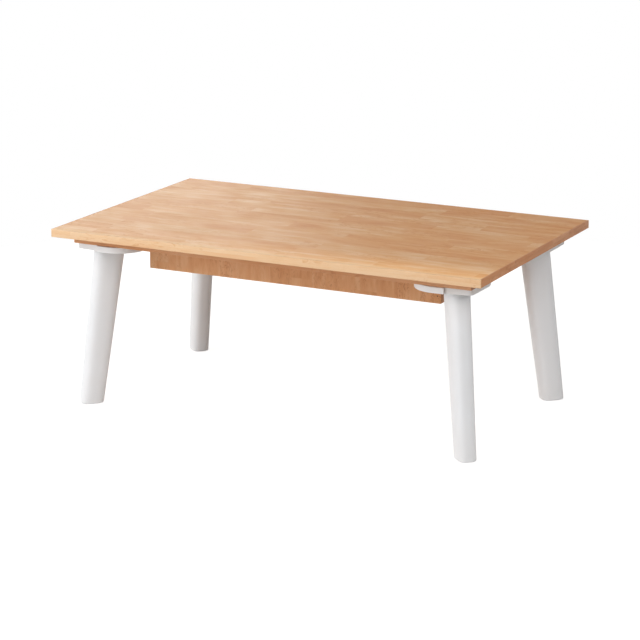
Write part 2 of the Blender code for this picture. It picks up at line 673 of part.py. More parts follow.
def build_inlet():
    """The cord's socket on the tray's right end wall, with two pins in its floor."""
    height = (HEATER_TOP - HEATER_SHEET + HEATER_BOTTOM) / 2
    back = HEATER_LENGTH / 2 + FIT_GAP
    mouth = back + INLET_DEPTH
    inlet = link_piece("heater_inlet", box_mesh((INLET_DEPTH, INLET_WIDTH, INLET_HEIGHT)), BLACK_PLASTIC,
                       ((back + mouth) / 2, 0, height))
    socket_size = (2 * INLET_SOCKET_DEPTH, INLET_WIDTH - 2 * INLET_WALL, INLET_HEIGHT - 2 * INLET_WALL)
    combine(inlet, link_cutter("inlet_socket", box_mesh(socket_size), (mouth, 0, height)))
    floor = mouth - INLET_SOCKET_DEPTH
    root = (INLET_DEPTH - INLET_SOCKET_DEPTH) / 2
    for name, side in (("front", -1), ("back", 1)):
        pin_length = INLET_PIN_LENGTH + root
        pin = link_cutter(f"inlet_pin_{name}", rod_mesh(INLET_PIN_DIAMETER, pin_length, "X"),
                          (floor - root + pin_length / 2, side * INLET_PIN_SPACING / 2, height))
        combine(inlet, pin, "UNION")


def build_heater_screw(name, place, held):
    """A pan-head screw up through the tray's flange into its rail."""
    shank = HEATER_SCREW_DIAMETER / 2
    head = HEATER_SCREW_HEAD_DIAMETER / 2
    point = HEATER_SHEET + FIT_GAP + HEATER_SCREW_BITE
    hole_length = 2 * (point + HOLE_CLEARANCE)
    hole = link_cutter(f"{name}_hole", rod_mesh(HEATER_SCREW_DIAMETER + 2 * HOLE_CLEARANCE, hole_length), place)
    for piece in held:
        combine(piece, hole)
    profile = [
        (0, point),
        (shank, point),
        (shank, -FIT_GAP),
        (head, -FIT_GAP),
        (head, -HEATER_SCREW_HEAD_HEIGHT),
        (0, -HEATER_SCREW_HEAD_HEIGHT),
    ]
    screw = link_piece(name, turned_mesh(profile), PLAIN_STEEL, place)
    smooth_sides(screw)


build_top_board()
build_pads()
frame_rails = build_frame()
build_aprons()
seat_plates = build_seats(frame_rails)
build_legs(frame_rails, seat_plates)
build_heater(frame_rails)
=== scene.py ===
import math

import bmesh
import bpy
from mathutils import Matrix, Vector


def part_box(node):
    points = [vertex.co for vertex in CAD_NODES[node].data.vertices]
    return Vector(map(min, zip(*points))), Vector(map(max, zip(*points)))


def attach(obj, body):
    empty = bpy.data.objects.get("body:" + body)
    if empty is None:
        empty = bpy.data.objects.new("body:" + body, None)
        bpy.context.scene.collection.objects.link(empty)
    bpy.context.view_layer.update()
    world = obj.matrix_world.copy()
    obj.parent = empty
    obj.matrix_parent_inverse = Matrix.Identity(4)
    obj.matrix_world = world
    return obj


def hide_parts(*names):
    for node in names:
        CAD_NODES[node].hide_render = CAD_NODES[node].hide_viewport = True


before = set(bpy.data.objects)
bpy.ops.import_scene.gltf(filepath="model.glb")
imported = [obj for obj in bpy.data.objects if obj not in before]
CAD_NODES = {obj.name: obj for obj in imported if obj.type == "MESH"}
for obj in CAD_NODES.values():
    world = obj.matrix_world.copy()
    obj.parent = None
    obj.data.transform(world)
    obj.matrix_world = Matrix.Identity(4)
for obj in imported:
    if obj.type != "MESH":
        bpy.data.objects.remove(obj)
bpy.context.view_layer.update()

# Camera, fitted to the edges of the table in the photograph
CAMERA_PLACE = (2.2992, -4.5756, 1.5627)
CAMERA_DOWN = 15.078
CAMERA_TURN = 26.731
CAMERA_LENS = 136.564
SENSOR_WIDTH = 36.0

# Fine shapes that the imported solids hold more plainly
SEAM_EASING = 0.00015
BAND_ROUNDING = 0.0012
BAND_ROUNDING_STEPS = 4
CRISP_EDGE_ANGLE = math.radians(60)
PAD_EASING = 0.0002
LEG_TOP_LONG = 0.068
LEG_TOP_SHORT = 0.051
LEG_FOOT_LONG = 0.054
LEG_FOOT_SHORT = 0.0445
LEG_TOP_SET_IN = 0.0557
LEG_SPLAY_ALONG = 0.0374
LEG_SPLAY_ACROSS = 0.0298
LEG_FOOT_ROUNDING = 0.0025
LEG_SQUARENESS = 2.9
LEG_LONG_SHARE = 0.962
LEG_SHORT_SHARE = 0.925
LEG_TOP_EASING = 0.0004
LEG_FACETS = 96
LEG_RING_SHARES = (0.2, 0.4, 0.6, 0.8)
LEG_FOOT_STEPS = 4
GLIDE_CLEARANCE = 0.0004
GLIDE_ROUNDING = 0.0008
GLIDE_ROUNDING_STEPS = 3
SEAT_REACH = 0.144
SEAT_ROUND_RADIUS = 0.058
SEAT_END_RADIUS = 0.052
SEAT_EDGE_SET_IN = 0.0005
SEAT_WING_PROUD = 0.004
SEAT_NOSE_SET_IN = 0.0085
SEAT_STEP_SET_IN = 0.0015
SEAT_NOSE_SIDE_SET_IN = 0.0015
SEAT_NOSE_RADIUS = 0.010
SEAT_STEP_FROM_CORNER = 0.0588
SEAT_SLIT_WIDTH = 0.0008
SEAT_SLIT_DEPTH = 0.016
SEAT_ROUNDING = 0.0018
SEAT_ROUNDING_STEPS = 4
SEAT_WING_FACETS = 36
SEAT_NOSE_FACETS = 16
SEAT_APRON_CLEARANCE = 0.003
SCREW_HEAD_DEPTH = 0.0026
SCREW_HEAD_RIM = 0.0002
SCREW_HOLE_GROWTH = 0.0001
SCREW_POINT_SHARE = 0.4
SCREW_CROSS_WIDTH = 0.0011
SCREW_CROSS_LENGTH = 0.0044
SCREW_CROSS_DEPTH = 0.0016
SCREW_CROSS_TAPER = 0.45
BOLT_PITCH = 0.00125
BOLT_THREAD_DEPTH = 0.00065
BOLT_THREAD_TURNS = 9
BOLT_STEPS_PER_TURN = 8
NUT_CHAMFER_ANGLE = 30
NUT_CHAMFER_FACETS = 64
PIN_HEAD_DIAMETER = 0.0026
PIN_HEAD_PROUD = 0.00025
PIN_HEAD_DOME = ((0.55, 1.0), (0.9, 0.6), (1.0, 0.0), (1.0, -1.0))
PIN_HEAD_FACETS = 24
PIN_FROM_END = 0.008
PIN_FROM_EDGE = 0.016
TUBE_RADIUS = 0.005
TUBE_WALL = 0.0008
TUBE_CAP_LENGTH = 0.016
TUBE_CAP_SEAT = 0.005
TUBE_CAP_EASING = 0.0008
TUBE_CAP_CLEARANCE = 0.0002
COIL_RADIUS = 0.003
COIL_WIRE_RADIUS = 0.0004
COIL_WIRE_FACETS = 6
COIL_PITCH = 0.0028
COIL_STEPS_PER_TURN = 12
HEATER_SCREW_SHANK = 0.004
HEATER_SCREW_HEAD = 0.003
HEATER_SCREW_DOME = ((1.0, 0.45), (0.97, 0.68), (0.88, 0.86), (0.72, 0.96), (0.6, 1.0))
BUTTON_EASING = 0.0006
BUTTON_STEP = 0.002
BUTTON_NECK_SHARE = 0.62
INLET_WALL = 0.004
INLET_SOCKET_DEPTH = 0.016
INLET_CORNER = 0.003
INLET_CORNER_FACETS = 6
INLET_EASING = 0.0007
INLET_PIN_DIAMETER = 0.004
INLET_PIN_LENGTH = 0.009
INLET_PIN_SPACING = 0.013
INLET_PIN_DOME = ((0.5, 0.0), (0.87, 0.25), (1.0, 0.6))

CORNERS = {
    "front_left": (-1, -1),
    "front_right": (1, -1),
    "back_left": (-1, 1),
    "back_right": (1, 1),
}
ROUND_FACETS = 48
SMALL_ROUND_FACETS = 32
CRISP_ANGLE = math.radians(32)

# Studio floor and soft lamps: name, place, width and height, power, colour
FLOOR_RADIUS = 1.7
FLOOR_FACETS = 96
FLOOR_TONE = (0.83, 0.77, 0.715)
FLOOR_SHADOW_TONE = (0.42, 0.42, 0.42)
FLOOR_GLOW = 0.84
BACKGROUND_TONE = (1.0, 1.0, 1.0)
EVEN_LIGHT = 0.04
LAMP_AIM = (0.0, 0.0, 0.25)
WHITE_LIGHT = (1.0, 1.0, 1.0)
WARM_LIGHT = (1.0, 0.93, 0.82)
LAMPS = (
    ("left_softbox", (-3.2, 0.4, 1.4), (2.0, 1.6), 23, WHITE_LIGHT),
    ("front_left_softbox", (-2.4, -2.2, 2.0), (2.0, 1.8), 36, WHITE_LIGHT),
    ("middle_front_left_softbox", (-2.2, -3.0, 1.0), (2.0, 1.2), 31, WHITE_LIGHT),
    ("low_front_left_softbox", (-1.4, -3.6, 0.5), (2.2, 0.8), 21, WHITE_LIGHT),
    ("front_softbox", (1.0, -2.6, 2.4), (2.2, 1.6), 37, WHITE_LIGHT),
    ("right_softbox", (2.8, -0.8, 2.0), (2.0, 1.8), 37, WHITE_LIGHT),
    ("back_softbox", (1.0, 2.8, 2.8), (2.4, 1.6), 12, WHITE_LIGHT),
    ("back_left_softbox", (-2.1, 3.0, 1.2), (1.0, 0.8), 3, WARM_LIGHT),
    ("back_left_window", (-2.0, 1.6, 1.0), (2.2, 1.2), 22, WARM_LIGHT),
)

# Staves, and figure with its scale along and across the grain and the noise values that it spans
STAVE_LENGTH = 0.30
STAVE_WIDTH = 0.05
END_BAND_STAVE_LENGTH = 0.08
RAIL_STAVES = {"stave_length": 0.6, "stave_width": 0.075}
ROW_LENGTH_SHARES = (0.72, 1.28)
ROW_START_SPREAD = 9.0
JOINT_REACH = (0.0001, 0.0006)
NO_VECTOR = (0.0, 0.0, 0.0)
FIGURE_SHIFT = (7.0, 7.0, 7.0)
CLOUD_SCALE = (5.0, 17.0, 17.0)
CLOUD_RANGE = (0.28, 0.72)
BROAD_STREAK_SCALE = (8.0, 52.0, 52.0)
BROAD_STREAK_WEIGHT = 0.7
FINE_STREAK_SCALE = (24.0, 420.0, 420.0)
FINE_STREAK_WEIGHT = 0.3
STREAK_RANGE = (0.3, 0.7)
FLECK_SCALE = (170.0, 1400.0, 1400.0)
FLECK_RANGE = (0.63, 0.72)
CURL_SCALE = (22.0, 46.0, 46.0)
CURL_RANGE = (0.52, 0.64)
CURL_PATCH_SCALE = (3.5, 9.0, 9.0)
CURL_PATCH_RANGE = (0.47, 0.60)
APRON_FINENESS = 2.2

# Tones of the staves, from dark over middle to light, and of the figure in them
BOARD_TONES = ((0.550, 0.208, 0.042), (0.622, 0.298, 0.098), (0.702, 0.424, 0.212), (0.520, 0.190, 0.028))
FRONT_BAND_TONES = (
    (0.746, 0.448, 0.238), (0.785, 0.528, 0.313), (0.804, 0.574, 0.371), (0.644, 0.348, 0.162))
END_BAND_TONES = ((0.478, 0.190, 0.072), (0.544, 0.236, 0.097), (0.618, 0.300, 0.143), (0.399, 0.148, 0.051))
APRON_TONES = ((0.576, 0.271, 0.114), (0.660, 0.345, 0.165), (0.725, 0.430, 0.239), (0.446, 0.186, 0.072))
RAIL_TONES = ((0.556, 0.264, 0.115), (0.621, 0.326, 0.166), (0.670, 0.389, 0.224), (0.441, 0.186, 0.073))

# Painted light on the board: a paler pool towards its front right and a painted highlight strip along its
# front edge, in metres from its middle
PAINTED_LIGHT_ROWS = (-0.30, -0.17)
PAINTED_LIGHT_RISE = (-0.22, 0.32)
PAINTED_LIGHT_SHARES = (0.12, 1.0)
PAINTED_LIGHT_LIFT = (1.48, 1.68, 2.0)
PAINTED_HIGHLIGHT_ROWS = (-0.292, -0.278)
PAINTED_HIGHLIGHT_SHARE = 0.75
PAINTED_HIGHLIGHT_LEFT = (0.765, 0.462, 0.212)
PAINTED_HIGHLIGHT_RIGHT = (0.95, 0.595, 0.305)

# Finishes: shares of what shows in them, roughness from one state to the other, strength and depth of relief
STAVE_TONE_SHARE = 0.17
CLOUD_SHARE = 0.38
STREAK_SHARE = 0.36
CURL_SHARE = 0.70
FLECK_SHARE = 0.3
JOINT_SHARE = 0.16
CUT_END_FACING = (0.7, 0.9)
CUT_END_SHARE = 0.65
LACQUER_ROUGHNESS = (0.50, 0.42)
LACQUER_SMUDGE_ROUGHNESS = 0.07
LACQUER_RELIEF = (0.35, 0.00012)
STREAK_HEIGHT = 0.5
FLECK_HEIGHT = -0.5
JOINT_HEIGHT = -0.8
SMUDGE_SCALE = 14.0
SMUDGE_RANGE = (0.35, 0.7)
SPECK_SCALE = 620.0
SPECK_RANGE = (0.74, 0.8)
UNEVENNESS_SCALE = 380.0
PAINT_TONE = (0.797, 0.819, 0.848)
PAINT_SMUDGE_TONE = (0.765, 0.76, 0.755)
PAINT_SMUDGE_SHARE = 0.20
PAINT_SPECK_TONE = (0.60, 0.58, 0.55)
PAINT_SPECK_SHARE = 0.25
PAINT_GRAIN_SCALE = (170.0, 170.0, 6.0)
PAINT_UNEVENNESS_HEIGHT = 0.6
PAINT_GRAIN_HEIGHT = 0.5
PAINT_ROUGHNESS = (0.48, 0.60)
PAINT_RELIEF = (0.25, 0.00015)
METAL_LINE_SCALE = (900.0, 900.0, 4000.0)
METAL_ROUGHNESS = (0.26, 0.42)
METAL_RELIEF = (0.2, 0.00004)
MOULDING_WEAR_SHARE = 0.6
MOULDING_GLOSSIER = 0.05
MOULDING_DULLER = 0.08
MOULDING_RELIEF_STRENGTH = 0.3
ENAMEL_TONE = (0.028, 0.028, 0.030)
ENAMEL_SMUDGE_TONE = (0.050, 0.048, 0.046)
ENAMEL_DUST_TONE = (0.16, 0.15, 0.14)
ENAMEL_DUST_SHARE = 0.5
ENAMEL_ROUGHNESS = (0.38, 0.55)
ENAMEL_RELIEF = (0.3, 0.0001)
SHEET_TONE = (0.86, 0.86, 0.87)
SHEET_SMUDGE_TONE = (0.74, 0.72, 0.69)
SHEET_LINE_SCALE = (12.0, 1500.0, 1500.0)
SHEET_ROUGHNESS = (0.14, 0.3)
SHEET_RELIEF = (0.15, 0.00004)
QUARTZ_TONE = (0.80, 0.22, 0.10)
QUARTZ_SMUDGE_TONE = (0.66, 0.15, 0.06)
QUARTZ_ROUGHNESS = (0.04, 0.12)


# Node trees

def add(tree, kind, sockets=None, **settings):
    """A node with its settings, and its sockets set to constants or linked to other nodes' outputs."""
    made = tree.nodes.new(kind)
    for name, value in settings.items():
        setattr(made, name, value)
    for name, value in (sockets or {}).items():
        if isinstance(value, bpy.types.NodeSocket):
            tree.links.new(value, made.inputs[name])
        else:
            made.inputs[name].default_value = value
    return made


def calc(tree, operation, first, second=0.0, third=0.0):
    return add(tree, "ShaderNodeMath", {0: first, 1: second, 2: third}, operation=operation).outputs[0]


def weighted(tree, *terms):
    """The sum of some values, each times its own weight."""
    total = 0.0
    for value, weight in terms:
        total = calc(tree, "MULTIPLY_ADD", value, weight, total)
    return total


def spread(tree, value, low, high, to_low=0.0, to_high=1.0, kind="LINEAR"):
    """A value between two limits, spread over a new range and clamped to it."""
    sockets = {"Value": value, "From Min": low, "From Max": high, "To Min": to_low, "To Max": to_high}
    return add(tree, "ShaderNodeMapRange", sockets, interpolation_type=kind).outputs["Result"]


def opaque(colour):
    """Another node's colour as it is, or the three parts of a tone made opaque."""
    return colour if isinstance(colour, bpy.types.NodeSocket) else (*colour, 1.0)


def mixed(tree, factor, first, second, blend_type="MIX"):
    """Two colours mixed by a factor."""
    sockets = {0: factor, 6: opaque(first), 7: opaque(second)}
    return add(tree, "ShaderNodeMix", sockets, data_type="RGBA", blend_type=blend_type).outputs[2]


def shades(tree, factor, stops):
    """A colour read from a row of (place, tone) stops."""
    made = add(tree, "ShaderNodeValToRGB", {"Fac": factor})
    elements = made.color_ramp.elements
    elements[0].position = stops[0][0]
    elements[-1].position = stops[-1][0]
    for position, _ in stops[1:-1]:
        elements.new(position)
    for element, (_, tone) in zip(elements, stops):
        element.color = opaque(tone)
    return made.outputs["Color"]


def stretched(tree, vector, scale):
    return add(tree, "ShaderNodeVectorMath", {0: vector, 1: scale}, operation="MULTIPLY").outputs[0]


def noise(tree, vector, scale, detail=2.0, roughness=0.5, distortion=0.0):
    sockets = {"Vector": vector, "Scale": scale, "Detail": detail, "Roughness": roughness,
               "Distortion": distortion}
    return add(tree, "ShaderNodeTexNoise", sockets).outputs["Fac"]


def drawn_out(tree, vector, scale, **settings):
    """A noise with its own scale along each axis."""
    return noise(tree, stretched(tree, vector, scale), 1.0, **settings)


def new_group(name, inputs, outputs):
    """An empty node group, from named values: its tree, its inputs' sockets and its outputs' sockets."""
    group = bpy.data.node_groups.new(name, "ShaderNodeTree")
    for in_out, sockets in (("INPUT", inputs), ("OUTPUT", outputs)):
        for socket_name, value in sockets.items():
            socket_type = "NodeSocketVector" if isinstance(value, tuple) else "NodeSocketFloat"
            socket = group.interface.new_socket(socket_name, in_out=in_out, socket_type=socket_type)
            socket.default_value = value
    given = group.nodes.new("NodeGroupInput").outputs
    result = group.nodes.new("NodeGroupOutput").inputs
    return group, given, result


def stave_layout_group():
    """Glued-up staves: each row of staves has its own length and start, and each stave its own tone."""
    group, given, result = new_group(
        "stave_layout",
        {"Along": 0.0, "Across": 0.0, "Stave Length": STAVE_LENGTH, "Stave Width": STAVE_WIDTH, "Seed": 0.0},
        {"Tone": 0.0, "Shift": NO_VECTOR, "Joint": 0.0})

    def from_edge(count, size):
        """The distance to the nearer edge of a stave, from a count of staves of one size."""
        part = calc(group, "FRACT", count)
        nearer = calc(group, "MINIMUM", part, calc(group, "SUBTRACT", 1.0, part))
        return calc(group, "MULTIPLY", nearer, size)

    lane = calc(group, "DIVIDE", given["Across"], given["Stave Width"])
    row = calc(group, "ADD", calc(group, "FLOOR", lane), given["Seed"])
    row_noise = add(group, "ShaderNodeTexWhiteNoise", {"W": row}, noise_dimensions="1D")
    row_parts = add(group, "ShaderNodeSeparateColor", {"Color": row_noise.outputs["Color"]}).outputs
    length_share = spread(group, row_parts[0], 0, 1, *ROW_LENGTH_SHARES)
    length = calc(group, "MULTIPLY", given["Stave Length"], length_share)
    start = calc(group, "MULTIPLY", row_parts[1], ROW_START_SPREAD)
    run = calc(group, "ADD", calc(group, "DIVIDE", given["Along"], length), start)
    stave = calc(group, "FLOOR", run)
    cell = add(group, "ShaderNodeCombineXYZ", {"X": row, "Y": stave, "Z": given["Seed"]}).outputs[0]
    stave_noise = add(group, "ShaderNodeTexWhiteNoise", {"Vector": cell}, noise_dimensions="3D").outputs
    nearest = calc(group, "MINIMUM", from_edge(lane, given["Stave Width"]), from_edge(run, length))
    group.links.new(stave_noise["Value"], result["Tone"])
    group.links.new(stave_noise["Color"], result["Shift"])
    group.links.new(spread(group, nearest, *JOINT_REACH, 1.0, 0.0), result["Joint"])
    return group


def wood_grain_group():
    """Close-grained wood with X along the grain: cloudy tone, streaks, short flecks and patches of curls."""
    group, given, result = new_group(
        "wood_grain",
        {"Vector": NO_VECTOR},
        {"Clouds": 0.0, "Streaks": 0.0, "Flecks": 0.0, "Curls": 0.0})
    vector = given["Vector"]
    clouds = drawn_out(group, vector, CLOUD_SCALE, detail=3.0, roughness=0.6, distortion=0.5)
    broad = drawn_out(group, vector, BROAD_STREAK_SCALE, detail=4.0, roughness=0.65, distortion=0.6)
    fine = drawn_out(group, vector, FINE_STREAK_SCALE, detail=3.0, roughness=0.6)
    streaks = weighted(group, (broad, BROAD_STREAK_WEIGHT), (fine, FINE_STREAK_WEIGHT))
    flecks = drawn_out(group, vector, FLECK_SCALE, detail=1.0)
    curls = drawn_out(group, vector, CURL_SCALE, detail=3.0, roughness=0.6, distortion=2.8)
    patches = drawn_out(group, vector, CURL_PATCH_SCALE, detail=1.0)
    where_curled = spread(group, patches, *CURL_PATCH_RANGE)
    gathered = calc(group, "MULTIPLY", spread(group, curls, *CURL_RANGE), where_curled)
    group.links.new(spread(group, clouds, *CLOUD_RANGE), result["Clouds"])
    group.links.new(spread(group, streaks, *STREAK_RANGE), result["Streaks"])
    group.links.new(spread(group, flecks, *FLECK_RANGE), result["Flecks"])
    group.links.new(gathered, result["Curls"])
    return group


def handling_marks_group():
    """What use leaves on any surface: slow smudges, small specks and a fine unevenness."""
    group, given, result = new_group(
        "handling_marks",
        {"Vector": NO_VECTOR, "Fineness": 1.0},
        {"Smudges": 0.0, "Specks": 0.0, "Unevenness": 0.0})
    sockets = {0: given["Vector"], "Scale": given["Fineness"]}
    vector = add(group, "ShaderNodeVectorMath", sockets, operation="SCALE").outputs[0]
    smudges = noise(group, vector, SMUDGE_SCALE, detail=4.0, roughness=0.6, distortion=0.6)
    specks = noise(group, vector, SPECK_SCALE, detail=1.0)
    group.links.new(spread(group, smudges, *SMUDGE_RANGE), result["Smudges"])
    group.links.new(spread(group, specks, *SPECK_RANGE), result["Specks"])
    group.links.new(noise(group, vector, UNEVENNESS_SCALE), result["Unevenness"])
    return group


STAVE_LAYOUT = stave_layout_group()
WOOD_GRAIN = wood_grain_group()
HANDLING_MARKS = handling_marks_group()


# Finishes

def new_finish(name, constants, fineness=1.0):
    """A material with its tree, its shader, the place on its piece in metres, and the marks on it."""
    material = bpy.data.materials.new(name)
    material.use_nodes = True
    tree = material.node_tree
    shader = tree.nodes["Principled BSDF"]
    for socket, value in constants.items():
        shader.inputs[socket].default_value = value
    vector = add(tree, "ShaderNodeTexCoord").outputs["Object"]
    sockets = {"Vector": vector, "Fineness": fineness}
    marks = add(tree, "ShaderNodeGroup", sockets, node_tree=HANDLING_MARKS).outputs
    return material, tree, shader, vector, marks


def smudged(tree, marks, clean, dull):
    """A roughness that changes where the surface is smudged."""
    return spread(tree, marks["Smudges"], 0, 1, clean, dull)


def cover_surface(tree, shader, colour, roughness):
    tree.links.new(colour, shader.inputs["Base Color"])
    tree.links.new(roughness, shader.inputs["Roughness"])


def raise_surface(tree, shader, height, strength, depth):
    bump = add(tree, "ShaderNodeBump", {"Height": height, "Strength": strength, "Distance": depth})
    tree.links.new(bump.outputs["Normal"], shader.inputs["Normal"])


def lacquered_wood(name, along, across, end_axis, tones, seed, stave_length=STAVE_LENGTH,
                   stave_width=STAVE_WIDTH, fineness=1.0, with_painted_light=False):
    """Satin lacquered staves that run along one axis of the piece, with darker cut ends and, if asked,
    painted light along the front.
    """
    material, tree, shader, vector, marks = new_finish(name, {"Specular IOR Level": 0.24})
    parts = add(tree, "ShaderNodeSeparateXYZ", {"Vector": vector}).outputs
    depth = next(axis for axis in "XYZ" if axis not in (along, across))
    layout = add(tree, "ShaderNodeGroup", {
        "Along": parts[along], "Across": parts[across], "Stave Length": stave_length,
        "Stave Width": stave_width, "Seed": seed}, node_tree=STAVE_LAYOUT).outputs
    grain_place = add(tree, "ShaderNodeCombineXYZ", {
        "X": parts[along], "Y": parts[across], "Z": parts[depth]}).outputs[0]
    scaled = stretched(tree, grain_place, (fineness, fineness, fineness))
    moved = add(tree, "ShaderNodeVectorMath", {0: layout["Shift"], 1: FIGURE_SHIFT, 2: scaled},
                operation="MULTIPLY_ADD").outputs[0]
    grain = add(tree, "ShaderNodeGroup", {"Vector": moved}, node_tree=WOOD_GRAIN).outputs
    dark, middle, light, figure_tone = tones
    tone = 0.5
    swings = ((layout["Tone"], STAVE_TONE_SHARE), (grain["Clouds"], CLOUD_SHARE),
              (grain["Streaks"], STREAK_SHARE))
    for source, share in swings:
        tone = calc(tree, "ADD", tone, calc(tree, "MULTIPLY_ADD", source, 2 * share, -share))
    colour = shades(tree, tone, [(0.0, dark), (0.5, middle), (1.0, light)])
    figures = ((grain["Curls"], CURL_SHARE), (grain["Flecks"], FLECK_SHARE), (layout["Joint"], JOINT_SHARE))
    for figure, share in figures:
        colour = mixed(tree, calc(tree, "MULTIPLY", figure, share), colour, figure_tone)
    normal = add(tree, "ShaderNodeTexCoord").outputs["Normal"]
    facing = add(tree, "ShaderNodeSeparateXYZ", {"Vector": normal}).outputs
    cut_end = spread(tree, calc(tree, "ABSOLUTE", facing[end_axis]), *CUT_END_FACING, 0.0, CUT_END_SHARE)
    colour = mixed(tree, cut_end, colour, figure_tone)
    # Painted light: a paler front right and a painted highlight strip along the board's front edge
    if with_painted_light:
        colour = painted_front_light(tree, parts, colour)
    streak_sheen = spread(tree, grain["Streaks"], 0, 1, *LACQUER_ROUGHNESS)
    sheen = calc(tree, "MULTIPLY_ADD", marks["Smudges"], LACQUER_SMUDGE_ROUGHNESS, streak_sheen)
    cover_surface(tree, shader, colour, sheen)
    height = weighted(tree, (grain["Streaks"], STREAK_HEIGHT), (grain["Flecks"], FLECK_HEIGHT),
                      (layout["Joint"], JOINT_HEIGHT))
    raise_surface(tree, shader, height, *LACQUER_RELIEF)
    return material


def painted_front_light(tree, parts, colour):
    """Painted light on the board's colour: paler towards its front right, and a painted highlight strip along
    its front edge.
    """
    rows = spread(tree, parts["Y"], *PAINTED_LIGHT_ROWS, 1.0, 0.0, "SMOOTHSTEP")
    painted_light_share = calc(tree, "MULTIPLY", rows, spread(tree, parts["X"], *PAINTED_LIGHT_RISE, *PAINTED_LIGHT_SHARES))
    painted_light_colour = mixed(tree, painted_light_share, colour, PAINTED_LIGHT_LIFT, "MULTIPLY")
    highlight_strip = spread(tree, parts["Y"], *PAINTED_HIGHLIGHT_ROWS, PAINTED_HIGHLIGHT_SHARE, 0.0, "SMOOTHSTEP")
    highlight_tone = mixed(tree, spread(tree, parts["X"], *PAINTED_LIGHT_RISE), PAINTED_HIGHLIGHT_LEFT, PAINTED_HIGHLIGHT_RIGHT)
    return mixed(tree, highlight_strip, painted_light_colour, highlight_tone)


def painted_white():
    """Satin white paint on wood: a little unevenness and grain that shows through, smudges and specks."""
    material, tree, shader, vector, marks = new_finish("satin_white_paint", {"Specular IOR Level": 0.32})
    grain = drawn_out(tree, vector, PAINT_GRAIN_SCALE, detail=3.0, roughness=0.55)
    smudges = calc(tree, "MULTIPLY", marks["Smudges"], PAINT_SMUDGE_SHARE)
    soiled = mixed(tree, smudges, PAINT_TONE, PAINT_SMUDGE_TONE)
    specks = calc(tree, "MULTIPLY", marks["Specks"], PAINT_SPECK_SHARE)
    specked = mixed(tree, specks, soiled, PAINT_SPECK_TONE)
    cover_surface(tree, shader, specked, smudged(tree, marks, *PAINT_ROUGHNESS))
    height = weighted(tree, (marks["Unevenness"], PAINT_UNEVENNESS_HEIGHT), (grain, PAINT_GRAIN_HEIGHT))
    raise_surface(tree, shader, height, *PAINT_RELIEF)
    return material


def two_toned(name, constants, clean_tone, smudge_tone, roughness, fineness):
    """A finish whose tone and roughness change where it is smudged, and the place on its piece."""
    material, tree, shader, vector, marks = new_finish(name, constants, fineness)
    tint = mixed(tree, marks["Smudges"], clean_tone, smudge_tone)
    cover_surface(tree, shader, tint, smudged(tree, marks, *roughness))
    return material, tree, shader, vector


def drawn_metal(name, bright, dull):
    """Turned or drawn metal with fine lines, bright and dull in places."""
    material, tree, shader, vector = two_toned(
        name, {"Metallic": 1.0}, bright, dull, METAL_ROUGHNESS, fineness=4.0)
    raise_surface(tree, shader, drawn_out(tree, vector, METAL_LINE_SCALE, detail=1.0), *METAL_RELIEF)
    return material


def plain_moulding(name, colour, worn_colour, roughness, texture_scale, texture_depth):
    """Moulded plastic or rubber with its own fine texture."""
    material, tree, shader, vector, marks = new_finish(name, {"Specular IOR Level": 0.4}, fineness=2.0)
    tint = mixed(tree, calc(tree, "MULTIPLY", marks["Smudges"], MOULDING_WEAR_SHARE), colour, worn_colour)
    sheen = smudged(tree, marks, roughness - MOULDING_GLOSSIER, roughness + MOULDING_DULLER)
    cover_surface(tree, shader, tint, sheen)
    raise_surface(tree, shader, noise(tree, vector, texture_scale), MOULDING_RELIEF_STRENGTH, texture_depth)
    return material


def heatproof_black():
    """Black baked enamel on sheet metal."""
    gloss = {"Specular IOR Level": 0.45}
    material, tree, shader, _, marks = new_finish("heatproof_black_enamel", gloss, fineness=2.0)
    tint = mixed(tree, marks["Smudges"], ENAMEL_TONE, ENAMEL_SMUDGE_TONE)
    dusty = mixed(tree, calc(tree, "MULTIPLY", marks["Specks"], ENAMEL_DUST_SHARE), tint, ENAMEL_DUST_TONE)
    cover_surface(tree, shader, dusty, smudged(tree, marks, *ENAMEL_ROUGHNESS))
    raise_surface(tree, shader, marks["Unevenness"], *ENAMEL_RELIEF)
    return material


def bright_rolled_sheet():
    """Bright reflector sheet with rolling lines along the heater."""
    material, tree, shader, vector = two_toned(
        "bright_rolled_sheet", {"Metallic": 1.0}, SHEET_TONE, SHEET_SMUDGE_TONE, SHEET_ROUGHNESS,
        fineness=2.0)
    raise_surface(tree, shader, drawn_out(tree, vector, SHEET_LINE_SCALE), *SHEET_RELIEF)
    return material


def tinted_quartz():
    """Red-brown quartz glass of the heating tubes."""
    glass = {"Transmission Weight": 1.0, "IOR": 1.46, "Metallic": 0.0}
    parts = two_toned("tinted_quartz", glass, QUARTZ_TONE, QUARTZ_SMUDGE_TONE, QUARTZ_ROUGHNESS, fineness=3.0)
    return parts[0]


# The board's finish carries painted light: a paler front right and a painted highlight along its front edge
BOARD_WOOD = lacquered_wood("staved_board", "X", "Y", "X", BOARD_TONES, seed=3.0, with_painted_light=True)
BAND_WOOD_LONG = lacquered_wood("edge_band_long", "X", "Z", "X", FRONT_BAND_TONES, seed=11.0)
BAND_WOOD_END = lacquered_wood("edge_band_end", "Y", "Z", "Y", END_BAND_TONES, seed=17.0,
                               stave_length=END_BAND_STAVE_LENGTH)
RAIL_WOOD_LONG = lacquered_wood("frame_rail_long", "X", "Y", "X", RAIL_TONES, seed=23.0, **RAIL_STAVES)
RAIL_WOOD_END = lacquered_wood("frame_rail_end", "Y", "X", "Y", RAIL_TONES, seed=29.0, **RAIL_STAVES)
APRON_WOOD_LONG = lacquered_wood("apron_long", "Z", "X", "X", APRON_TONES, seed=31.0, fineness=APRON_FINENESS)
APRON_WOOD_END = lacquered_wood("apron_end", "Z", "Y", "Y", APRON_TONES, seed=37.0, fineness=APRON_FINENESS)
WHITE_PAINT = painted_white()
